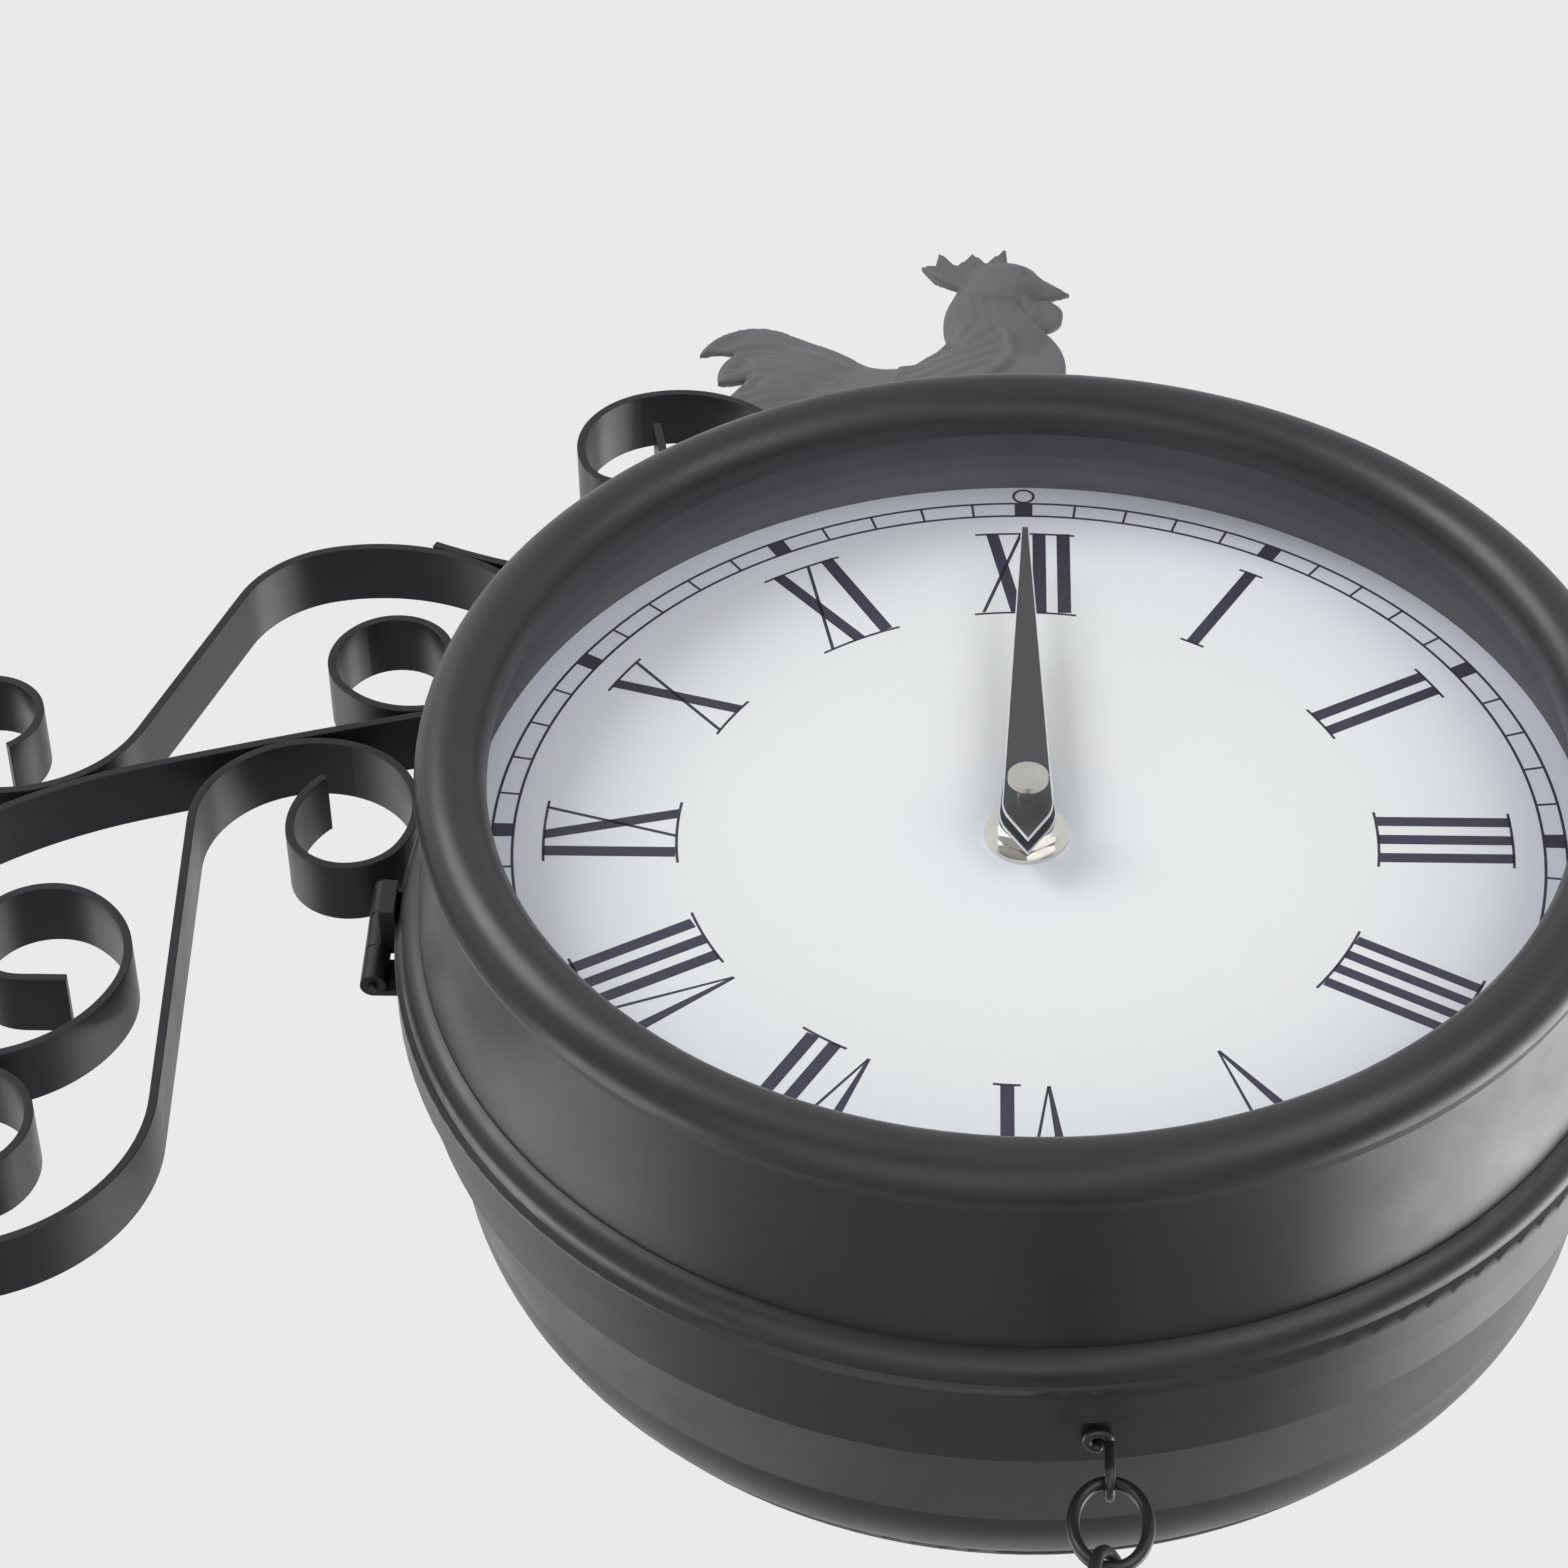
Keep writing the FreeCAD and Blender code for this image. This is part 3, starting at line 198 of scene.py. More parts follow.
def glazing(name):
    mat, tree, shader = new_mat(name)
    out = [n for n in tree.nodes if n.type == "OUTPUT_MATERIAL"][0]
    tree.nodes.remove(shader)
    clear = tree.nodes.new("ShaderNodeBsdfTransparent")
    clear.inputs["Color"].default_value = (0.985, 0.99, 0.99, 1)
    gloss = tree.nodes.new("ShaderNodeBsdfGlossy")
    gloss.inputs["Roughness"].default_value = 0.03
    facing = tree.nodes.new("ShaderNodeLayerWeight")
    facing.inputs["Blend"].default_value = 0.5
    bend = tree.nodes.new("ShaderNodeMath")
    bend.operation = "POWER"
    bend.inputs[1].default_value = 4.0
    tree.links.new(facing.outputs["Facing"], bend.inputs[0])
    share = tree.nodes.new("ShaderNodeMath")
    share.operation = "MULTIPLY_ADD"
    share.inputs[1].default_value = 0.4
    share.inputs[2].default_value = 0.012
    tree.links.new(bend.outputs[0], share.inputs[0])
    mix = tree.nodes.new("ShaderNodeMixShader")
    tree.links.new(share.outputs[0], mix.inputs[0])
    tree.links.new(clear.outputs[0], mix.inputs[1])
    tree.links.new(gloss.outputs[0], mix.inputs[2])
    tree.links.new(mix.outputs[0], out.inputs[0])
    return mat


BLACK = paint("satin_black", (0.0105, 0.0112, 0.0140), (0.0145, 0.0152, 0.0185), 0.38)
STRAP = paint("strap_black", (0.007, 0.008, 0.009), (0.010, 0.011, 0.0125), 0.34, 700.0, 0.00003,
              edge=0.0004, gloss=0.34)
CAST = paint("cast_black", (0.094, 0.094, 0.099), (0.132, 0.132, 0.138), 0.55, 500.0, 0.00005,
             edge=0.0004)
WIRE = paint("wire_black", (0.012, 0.012, 0.013), (0.02, 0.02, 0.022), 0.35, 900.0, 0.00002)
HAND = paint("hand_black", (0.028, 0.028, 0.031), (0.036, 0.036, 0.040), 0.36, 1200.0, 0.00001)
INK = paint("dial_ink", (0.012, 0.012, 0.03), (0.018, 0.018, 0.045), 0.45, 1500.0, 0.000005)
STEEL = metal("bright_steel", (0.78, 0.76, 0.72), 0.22)
CAP = metal("cap_steel", (0.60, 0.58, 0.54), 0.30)
EDGE = metal("cut_edge", (0.86, 0.87, 0.90), 0.35)
BRASS = metal("yellow_brass", (0.80, 0.66, 0.36), 0.25)
CASE_PLASTIC = plastic("black_plastic", (0.03, 0.03, 0.03), 0.4)
RING_PLASTIC = plastic("spacer_plastic", (0.070, 0.072, 0.082), 0.5)
CELL = metal("cell_jacket", (0.35, 0.38, 0.42), 0.3)
GLASS = glazing("clear_glass")
PAPER = dial_face_with_painted_shade("dial_face", DIAL, 1.0)
PAPER_REAR = dial_face_with_painted_shade("dial_face_rear", REAR, REAR_SCALE)

LOOKS = {
    "front_cover": BLACK, "rear_cover": BLACK, "case_hoop": BLACK, "cover_clip": STRAP,
    "hinge_case_leaf": STRAP, "hinge_cover_leaf": STRAP, "hinge_pin": WIRE,
    "cockerel": CAST, "bell": CAST, "bell_clapper": CAST,
    "chain_hook": WIRE, "chain_link_1": WIRE, "chain_link_2": WIRE, "chain_link_3": WIRE,
    "wall_plate": STRAP,
}
for name in ("support_arm", "upper_scroll", "lower_scroll", "inner_scroll", "top_scroll",
             "wall_scroll"):
    LOOKS[name] = STRAP
for side in ("front", "rear"):
    LOOKS[side + "_glass"] = GLASS
    LOOKS[side + "_spacer"] = RING_PLASTIC
    LOOKS[side + "_dial"] = PAPER if side == "front" else PAPER_REAR
    LOOKS[side + "_movement"] = CASE_PLASTIC
    LOOKS[side + "_set_knob"] = CASE_PLASTIC
    LOOKS[side + "_battery"] = CELL
    LOOKS[side + "_washer"] = STEEL
    LOOKS[side + "_nut"] = STEEL
    LOOKS[side + "_hour_hand"] = HAND
    LOOKS[side + "_minute_hand"] = HAND
    LOOKS[side + "_hand_cap"] = CAP
for name, obj in nodes.items():
    look = LOOKS[name]
    if not obj.material_slots:
        obj.data.materials.append(look)
    for entry in obj.material_slots:
        entry.material = look


# ------------------------------------------------------------------ mesh helpers
def put(name, bm, look, body, smooth=True, shift=None, turn=False, hides=()):
    """Makes a piece from a mesh in millimetres of the dial's own frame."""
    for vert in bm.verts:
        vert.co *= MM
    bmesh.ops.recalc_face_normals(bm, faces=bm.faces)
    mesh = bpy.data.meshes.new(name)
    bm.to_mesh(mesh)
    bm.free()
    if turn:
        mesh.transform(Matrix.Rotation(math.pi, 4, "Z"))
    mesh.transform(Matrix.Translation(shift or DIAL))
    for poly in mesh.polygons:
        poly.use_smooth = smooth
    mesh.materials.append(look)
    obj = bpy.data.objects.new(name, mesh)
    bpy.context.scene.collection.objects.link(obj)
    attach(obj, body)
    if hides:
        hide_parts(*hides)


def trace(start, steps, gap=0.7):
    """Points along lines and three point arcs."""
    points = [start]
    here = start
    for step in steps:
        if len(step) == 2:
            count = max(1, int(math.dist(here, step) / gap))
            points += [(here[0] + (step[0] - here[0]) * i / count,
                        here[1] + (step[1] - here[1]) * i / count) for i in range(1, count + 1)]
        else:
            ax, ay = here
            bx, by, cx, cy = step
            d = 2 * (ax * (by - cy) + bx * (cy - ay) + cx * (ay - by))
            ux = ((ax * ax + ay * ay) * (by - cy) + (bx * bx + by * by) * (cy - ay)
                  + (cx * cx + cy * cy) * (ay - by)) / d
            uy = ((ax * ax + ay * ay) * (cx - bx) + (bx * bx + by * by) * (ax - cx)
                  + (cx * cx + cy * cy) * (bx - ax)) / d
            radius = math.dist(here, (ux, uy))
            a0, a1, a2 = (math.atan2(y - uy, x - ux) for x, y in (here, (bx, by), (cx, cy)))
            whole = 2 * math.pi
            sweep = (a2 - a0) % whole
            if (a1 - a0) % whole > sweep:
                sweep -= whole
            count = max(3, int(abs(sweep) * radius / gap))
            points += [(ux + radius * math.cos(a0 + sweep * i / count),
                        uy + radius * math.sin(a0 + sweep * i / count))
                       for i in range(1, count + 1)]
        here = step[-2:]
    return points


def tube(bm, path, radii, segments):
    """Rod through a row of points with a radius at each."""
    rings = []
    for i, point in enumerate(path):
        ahead = Vector(path[min(i + 1, len(path) - 1)]) - Vector(path[max(i - 1, 0)])
        frame_turn = ahead.to_track_quat("Z", "Y").to_matrix()
        ring = []
        for k in range(segments):
            a = 2 * math.pi * k / segments
            around = frame_turn @ Vector((math.cos(a), math.sin(a), 0)) * radii[i]
            ring.append(bm.verts.new(Vector(point) + around))
        rings.append(ring)
    for ring_a, ring_b in zip(rings, rings[1:]):
        for k in range(segments):
            m = (k + 1) % segments
            bm.faces.new((ring_a[k], ring_a[m], ring_b[m], ring_b[k]))
    bm.faces.new(rings[0])
    bm.faces.new(rings[-1])


# ------------------------------------------------------------------ dial printing
def quad_strip(bm, path_a, path_b, thick):
    """Thin raised band between two rows of points."""
    rows = []
    for level in (0.0, thick):
        rows.append([bm.verts.new((a[0], -level, a[1])) for a in path_a])
        rows.append([bm.verts.new((b[0], -level, b[1])) for b in path_b])
    low_a, low_b, top_a, top_b = rows
    count = len(path_a)
    for i in range(count - 1):
        bm.faces.new((top_a[i], top_a[i + 1], top_b[i + 1], top_b[i]))
        bm.faces.new((low_b[i], low_b[i + 1], low_a[i + 1], low_a[i]))
        bm.faces.new((low_a[i], low_a[i + 1], top_a[i + 1], top_a[i]))
        bm.faces.new((low_b[i + 1], low_b[i], top_b[i], top_b[i + 1]))
    bm.faces.new((low_a[0], top_a[0], top_b[0], low_b[0]))
    bm.faces.new((low_a[-1], low_b[-1], top_b[-1], top_a[-1]))


TOP_R, LOW_R = 80.2, 58.1          # numerals' outer and inner ends
SERIF, THIN, INK_THICK = 0.46, 0.62, 0.04
TRACK_IN, TRACK_OUT, TRACK_LINE = 85.35, 88.95, 0.24
HOUR_MARK, MINUTE_MARK = 1.05, 0.145   # half widths in degrees
RING_MIDDLE = 91.05


def stroke(parts, u_top, u_low, wide):
    parts.append(([(u_top - wide / 2, TOP_R), (u_low - wide / 2, LOW_R)],
                  [(u_top + wide / 2, TOP_R), (u_low + wide / 2, LOW_R)]))


def serif(parts, u_from, u_to, radius):
    steps = max(3, int((u_to - u_from) / 1.2))
    us = [u_from + (u_to - u_from) * i / steps for i in range(steps + 1)]
    outer, inner = radius + SERIF / 2, radius - SERIF / 2
    parts.append(([(u, math.sqrt(inner ** 2 - u * u)) for u in us],
                  [(u, math.sqrt(outer ** 2 - u * u)) for u in us]))


def vee(parts, u_top_left, apex, u_top_right):
    """V: a heavy left stroke and a hairline that meet in a sharp foot."""
    wide = 2.15
    parts.append(([(u_top_left - wide / 2, TOP_R), (apex - 0.25, LOW_R - 0.1)],
                  [(u_top_left + wide / 2, TOP_R), (apex + 0.2, LOW_R + 0.3)]))
    parts.append(([(u_top_right - THIN / 2, TOP_R), (apex - 0.1, LOW_R + 0.2)],
                  [(u_top_right + THIN / 2, TOP_R), (apex + 0.25, LOW_R)]))


def numeral(hour):
    """Strokes and serifs of one numeral, in the twelve o'clock place."""
    parts = []
    if hour in (1, 2, 3, 4):
        wide = {1: 2.25, 2: 2.25, 3: 2.2, 4: 1.9}[hour]
        pitch = {1: 0.0, 2: 4.14, 3: 4.44, 4: 3.69}[hour]
        first = -pitch * (hour - 1) / 2
        for i in range(hour):
            stroke(parts, first + i * pitch, first + i * pitch, wide)
        end = -first + wide / 2 + 1.15
        serif(parts, -end, end, TOP_R)
        serif(parts, -end, end, LOW_R)
    elif hour in (5, 6, 7, 8):
        extra = hour - 5
        apex = {5: -0.9, 6: -3.1, 7: -4.6, 8: -6.4}[hour]
        left = {5: -4.3, 6: -6.1, 7: -7.7, 8: -9.6}[hour]
        right = {5: 3.1, 6: 0.2, 7: -1.5, 8: -3.0}[hour]
        start = {5: 0.0, 6: 3.4, 7: 1.7, 8: -0.35}[hour]
        pitch = {5: 0.0, 6: 0.0, 7: 4.1, 8: 4.24}[hour]
        vee(parts, left, apex, right)
        for i in range(extra):
            stroke(parts, start + i * pitch, start + i * pitch, 2.2)
        end = right + 1.2 if extra == 0 else start + (extra - 1) * pitch + 2.25
        serif(parts, left - 2.2, end, TOP_R)
        if extra:
            serif(parts, start - 2.1, end, LOW_R)
    else:
        spans = {9: (-1.0, 4.5, 5.8, -1.05), 10: (-2.55, 2.65, 4.05, -3.6),
                 11: (-4.0, 0.4, 2.0, -5.0), 12: (-5.7, -1.25, -0.5, -7.1)}[hour]
        stroke(parts, spans[0], spans[1], 2.2)
        stroke(parts, spans[2], spans[3], THIN)
        bars = {9: (-5.0,), 10: (), 11: (5.7,), 12: (2.7, 7.0)}[hour]
        for bar in bars:
            stroke(parts, bar, bar, 2.35)
        ends = {9: (-7.6, 7.3), 10: (-4.8, 5.2), 11: (-6.9, 8.0), 12: (-8.7, 9.0)}[hour]
        serif(parts, ends[0], ends[1], TOP_R)
        serif(parts, ends[0], ends[1], LOW_R)
    return parts


def arc_band(r_in, r_out, start, end, steps, high=0.0):
    """Two rows of points along an arc; high lifts the arc's centre along twelve o'clock."""
    angles = [math.radians(start + (end - start) * i / steps) for i in range(steps + 1)]
    return ([(r_in * math.sin(a), high + r_in * math.cos(a)) for a in angles],
            [(r_out * math.sin(a), high + r_out * math.cos(a)) for a in angles])


def dial_print(name, centre, rear, scale, body):
    """Numerals, minute track and the small ring at twelve, as thin raised ink."""
    bm = bmesh.new()
    for hour in range(1, 13):
        turn = math.radians(30 * hour)
        cos_t, sin_t = math.cos(turn), math.sin(turn)
        for row_a, row_b in numeral(hour):
            rows = [[(u * cos_t + r * sin_t, r * cos_t - u * sin_t) for u, r in row]
                    for row in (row_a, row_b)]
            quad_strip(bm, rows[0], rows[1], INK_THICK)
    for radius in (TRACK_IN, TRACK_OUT):
        quad_strip(bm, *arc_band(radius - TRACK_LINE, radius + TRACK_LINE, 0, 360, 240),
                   INK_THICK)
    for minute in range(60):
        half = HOUR_MARK if minute % 5 == 0 else MINUTE_MARK
        quad_strip(bm, *arc_band(TRACK_IN + 0.05, TRACK_OUT - 0.05, minute * 6 - half,
                                 minute * 6 + half, 3), INK_THICK)
    quad_strip(bm, *arc_band(1.55, 2.05, 0, 360, 30, RING_MIDDLE), INK_THICK)
    for vert in bm.verts:
        vert.co *= scale
    put(name, bm, INK, body, False, centre, rear)


dial_print("front_dial_print", DIAL, False, 1.0, "front_door")
dial_print("rear_dial_print", REAR, True, REAR_SCALE, "bracket")


# ------------------------------------------------------------------ cockerel
BIRD_Y = 31.0                      # middle plane of the casting
BIRD = trace((10.5, 196.5), (
    (3.8, 194.0), (8.6, 191.7, 8.9, 188.2), (7.8, 185.2, 4.9, 183.9), (8.8, 176.5, 9.3, 168.8),
    (5.5, 152.5, -6.5, 143.0), (-19.0, 137.5, -31.0, 145.0), (-43.0, 152.0, -56.5, 153.5),
    (-57.6, 157.9, -56.0, 162.7), (-53.5, 167.0), (-56.5, 165.9, -59.4, 165.8),
    (-59.0, 170.9, -56.2, 175.3), (-59.8, 175.7, -63.4, 174.9), (-60.8, 179.9, -55.7, 183.3),
    (-50.6, 183.8, -45.2, 181.5), (-38.9, 177.6, -32.6, 172.9), (-29.6, 170.6, -26.2, 169.7),
    (-19.8, 172.6, -14.1, 179.2), (-14.9, 186.6, -13.4, 193.6), (-11.8, 198.1),
    (-16.3, 200.9, -19.5, 205.7), (-16.7, 205.7), (-16.0, 210.5), (-12.3, 205.6), (-9.2, 210.2),
    (-6.4, 206.8), (-2.3, 211.9), (-1.9, 206.0), (2.2, 205.5, 4.2, 202.4), (10.5, 196.5)))[:-1]
# rounded forms of the body: middle x and z, half length, half height, tilt, half thickness
DOMES = ((-7.5, 160.5, 17.5, 16.0, 40.0, 5.0), (-4.7, 184.0, 10.6, 16.5, 2.0, 4.5),
         (-2.6, 198.0, 8.4, 8.2, 10.0, 3.9), (-27.0, 158.0, 15.0, 12.5, 10.0, 4.0),
         (-42.0, 167.5, 20.0, 10.5, 22.0, 2.6))
WING = trace((-5.1, 180.6), ((-1.9, 179.0, -0.8, 175.0), (-0.9, 169.5, -4.5, 163.5),
                             (-14.0, 156.2, -31.0, 154.0), (-26.0, 160.5, -24.0, 167.5),
                             (-18.0, 172.5, -14.3, 180.5), (-9.5, 181.6, -5.1, 180.6)))[:-1]
JOWL = ((3.4, 194.0), (0.6, 193.0), (0.4, 189.5), (2.2, 186.2), (5.0, 183.6))
# grooves between the plumes: angle, width and depth
TAIL_LINES = ((33.6, 1.5, 0.85), (15.1, 1.5, 0.75), (38.6, 0.9, 0.3), (28.6, 0.9, 0.4),
              (24.0, 0.9, 0.35), (19.6, 0.9, 0.35), (10.2, 0.9, 0.35), (5.0, 1.0, 0.4),
              (0.0, 1.0, 0.35), (-5.5, 1.0, 0.3))
# hollows behind the plumes' tips: middle x and z, half length, half height, tilt
HOLLOWS = ((-57.6, 178.6, 3.4, 1.2, 30.0), (-54.8, 170.8, 2.6, 1.3, 60.0),
           (-52.0, 163.6, 2.4, 1.2, 40.0))


def reach(points, path, closed=True):
    """Distance from each point to a row of points joined by lines."""
    ends = np.roll(path, -1, axis=0) if closed else path[1:]
    starts = path if closed else path[:-1]
    best = np.full(len(points), 1e9)
    for a, b in zip(starts, ends):
        ab = b - a
        t = np.clip(((points - a) @ ab) / max(ab @ ab, 1e-9), 0, 1)
        best = np.minimum(best, np.hypot(*(points - (a + t[:, None] * ab)).T))
    return best


def inside(points, path):
    """Whether each point lies within a closed row of points."""
    ends = np.roll(path, -1, axis=0)
    hit = np.zeros(len(points), bool)
    for (ax, az), (bx, bz) in zip(path, ends):
        cross = (az > points[:, 1]) != (bz > points[:, 1])
        at = ax + (points[:, 1] - az) / (bz - az if bz != az else 1e-9) * (bx - ax)
        hit ^= cross & (points[:, 0] < at)
    return hit


def ease(value, low, high):
    """Smooth step from 0 at low to 1 at high."""
    t = np.clip((value - low) / (high - low), 0, 1)
    return t * t * (3 - 2 * t)


def relief(points):
    """Half thickness of the casting at each point of its outline's plane."""
    x, z = points[:, 0], points[:, 1]
    total = np.full(len(points), 1.35 ** 4)
    for cx, cz, long, high, tilt, height in DOMES:
        c, s = math.cos(math.radians(tilt)), math.sin(math.radians(tilt))
        u = ((x - cx) * c + (z - cz) * s) / long
        w = ((z - cz) * c - (x - cx) * s) / high
        total += (height * np.sqrt(np.clip(1 - u * u - w * w, 0, 1))) ** 4
    half = total ** 0.25
    # tail plumes
    along, up = -(x + 22.0), z - 161.0
    r = np.hypot(along, up)
    line = np.degrees(np.arctan2(up, along)) + 22.0 * np.clip((r - 22.0) / 21.0, 0, 2) ** 2.2
    fade = ease(-x, 28.0, 37.0)
    for where, wide, deep in TAIL_LINES:
        half -= fade * deep * np.exp(-((line - where) / wide) ** 2)
    for cx, cz, long, high, tilt in HOLLOWS:
        c, s = math.cos(math.radians(tilt)), math.sin(math.radians(tilt))
        u, w = (x - cx) * c + (z - cz) * s, (z - cz) * c - (x - cx) * s
        half -= 1.0 * np.exp(-(u / long) ** 2 - (w / high) ** 2)
    # wing with its raised front edge and long feathers
    wing = np.array(WING)
    gap = reach(points, wing)
    signed = np.where(inside(points, wing), gap, -gap)
    half += 0.8 * ease(signed, -0.35, 0.5) + 0.45 * np.exp(-((signed - 1.1) / 0.7) ** 2)
    row = x * math.sin(math.radians(31.0)) - z * math.cos(math.radians(31.0))
    ribs = np.abs(np.sin(row * math.pi / 3.1)) ** 0.6
    half -= 0.55 * (1 - ribs) * ease(signed, 1.8, 3.2)
    # head feathers end in a ragged edge over the neck, hackle lines below
    edge = 189.3 + 1.3 * np.abs(((x + 30.0) / 2.4) % 1.0 - 0.5)
    cape = ease(z - edge, -0.3, 0.35) * ease(x, -12.5, -10.5) * (1 - ease(x, 1.0, 3.5))
    half += 0.5 * cape * (1 - ease(z, 192.0, 200.0))
    hackle = np.abs(np.sin((x + 0.12 * (z - 184.0)) * math.pi / 2.6)) ** 0.7
    half -= 0.22 * (1 - hackle) * ease(z, 180.0, 183.0) * (1 - ease(z, 187.0, 190.0))
    # wattle fold, mouth and eye
    half -= 0.9 * np.exp(-(reach(points, np.array(JOWL), False) / 0.7) ** 2)
    half -= 0.35 * np.exp(-((z - 195.6 - 0.12 * x) / 0.35) ** 2) * ease(x, 5.0, 6.5)
    eye = np.hypot(x - 1.0, z - 200.2)
    half += 0.45 * (1 - ease(eye, 0.5, 1.1)) - 0.3 * np.exp(-((eye - 1.5) / 0.35) ** 2)
    rim = reach(points, np.array(BIRD))
    bend = np.clip(rim / np.where((z > 201.0) & (x < 0.0), 0.7, 2.4), 0, 1)
    return 0.4 + (np.clip(half, 0.6, 5.9) - 0.4) * np.sqrt(1 - (1 - bend) ** 2)


LEG_XS = (-23.0, -11.0)
LEG_ZS = (102.9, 106.0, 112.0, 126.0, 128.5, 131.0, 136.0, 141.0, 146.0, 150.0)
LEG_RADII = (1.9, 1.5, 1.3, 1.3, 1.75, 1.5, 2.3, 3.3, 3.9, 3.0)
TOES = ((-28.0, 7.0), (0.0, 8.0), (28.0, 7.0), (180.0, 4.0))   # direction and length
STRIP_LOW, STRIP_HIGH = 103.02, 105.2                         # radii about the dial's axis


def cockerel():
    """Casting with both faces in relief, on two legs and a strip that follows the hoop."""
    step = 0.62
    row = step * 0.87
    outline = np.array(BIRD)
    low, high = outline.min(axis=0), outline.max(axis=0)
    grid = np.array([(low[0] + i * step + (j % 2) * step / 2, low[1] + j * row)
                     for j in range(int((high[1] - low[1]) / row) + 1)
                     for i in range(int((high[0] - low[0]) / step) + 1)])
    grid = grid[inside(grid, outline)]
    grid = grid[reach(grid, outline) > 0.3]
    count = len(outline)
    flat = [Vector(p) for p in outline.tolist() + grid.tolist()]
    verts, _, faces, origin, _, _ = delaunay_2d_cdt(flat, [], [list(range(count))], 1, 1e-5)
    points = np.array([tuple(p) for p in verts])
    half = relief(points)
    bm = bmesh.new()
    sides = [[bm.verts.new((p[0], BIRD_Y + sign * h, p[1])) for p, h in zip(points, half)]
             for sign in (-1, 1)]
    for face in faces:
        bm.faces.new([sides[0][i] for i in face])
        bm.faces.new([sides[1][i] for i in reversed(face)])
    bm.edges.ensure_lookup_table()
    open_edges = [e for e in bm.edges if len(e.link_faces) == 1 and e.verts[0].co.y < BIRD_Y]
    mate = dict(zip(sides[0], sides[1]))
    for edge in open_edges:
        a, b = edge.verts
        bm.faces.new((a, b, mate[b], mate[a]))
    # legs with thighs and toes
    for x in LEG_XS:
        tube(bm, [(x, BIRD_Y, z) for z in LEG_ZS], LEG_RADII, 18)
        for lean, length in TOES:
            c, s = math.cos(math.radians(lean)), math.sin(math.radians(lean))
            toe = []
            for t in (0.0, 0.35, 0.7, 1.0):
                tx = x + length * t * c
                ty = BIRD_Y + length * t * s * 0.9
                toe.append((tx, ty, math.sqrt(STRIP_HIGH ** 2 - tx * tx) + 0.5 - 0.35 * t))
            tube(bm, toe, (1.1, 0.9, 0.75, 0.35), 10)
    # strip that follows the hoop
    rows = []
    for i in range(25):
        x = -32.0 + 34.0 * i / 24
        z_low = math.sqrt(STRIP_LOW ** 2 - x * x)
        z_high = math.sqrt(STRIP_HIGH ** 2 - x * x)
        rows.append([bm.verts.new((x, y, z)) for y, z in
                     ((26.0, z_low), (26.0, z_high - 0.4), (26.4, z_high), (35.6, z_high),
                      (36.0, z_high - 0.4), (36.0, z_low))])
    for row_a, row_b in zip(rows, rows[1:]):
        for k in range(6):
            m = (k + 1) % 6
            bm.faces.new((row_a[k], row_a[m], row_b[m], row_b[k]))
    bm.faces.new(rows[0])
    bm.faces.new(rows[-1])
    put("cockerel_cast", bm, CAST, "bracket", hides=("cockerel",))


cockerel()


# ------------------------------------------------------------------ hands and fixing
def hour_line(half, length, tail, shoulder):
    """Hour hand: a taper that narrows faster over its last part, to a point."""
    return trace((-half * 0.86, -tail * 0.42), (
        (0.0, -tail), (half * 0.86, -tail * 0.42), (half * 1.01, -tail * 0.2, half, 0.0),
        (half * 0.30, length - shoulder), (0.0, length), (-half * 0.30, length - shoulder),
        (-half, 0.0), (-half * 1.01, -tail * 0.2, -half * 0.86, -tail * 0.42)), 4.0)[:-1]


def minute_line(half, length, tail, tip):
    """Minute hand: one straight taper to a narrow tip that is cut off square."""
    return trace((-half * 0.86, -tail * 0.42), (
        (0.0, -tail), (half * 0.86, -tail * 0.42), (half * 1.01, -tail * 0.2, half, 0.0),
        (tip, length), (-tip, length), (-half, 0.0),
        (-half * 1.01, -tail * 0.2, -half * 0.86, -tail * 0.42)), 4.0)[:-1]


def blade(name, line, near, far, body, shift, turn, hides):
    """Flat hand cut from sheet along a closed row of points."""
    bm = bmesh.new()
    front = [bm.verts.new((x, near, z)) for x, z in line]
    back = [bm.verts.new((x, far, z)) for x, z in line]
    bm.faces.new(front)
    bm.faces.new(list(reversed(back)))
    for i in range(len(line)):
        j = (i + 1) % len(line)
        bm.faces.new((front[i], back[i], back[j], front[j]))
    put(name, bm, HAND, body, False, shift, turn, (hides,))


def cut_edge(name, line, near, far, wide, body, shift, turn):
    """Bright sheared edge that frames a hand."""
    bm = bmesh.new()
    count = len(line)
    loops = [[], [], [], []]
    for i, (x, z) in enumerate(line):
        before, after = Vector(line[i - 1]), Vector(line[(i + 1) % count])
        here = Vector((x, z))
        n0, n1 = here - before, after - here
        n0 = Vector((n0.y, -n0.x)).normalized()
        n1 = Vector((n1.y, -n1.x)).normalized()
        out_dir = n0 + n1
        out_dir = out_dir / max(out_dir.length, 0.4)
        grow = wide / max(out_dir.dot(n1), 0.45)
        tip = here + out_dir * grow
        root = here - out_dir * 0.05
        for loop, (p, y) in zip(loops, ((root, near), (tip, near), (tip, far), (root, far))):
            loop.append(bm.verts.new((p.x, y, p.y)))
    for k in range(4):
        a_loop, b_loop = loops[k], loops[(k + 1) % 4]
        for i in range(count):
            j = (i + 1) % count
            bm.faces.new((a_loop[i], a_loop[j], b_loop[j], b_loop[i]))
    put(name, bm, EDGE, body, False, shift, turn)


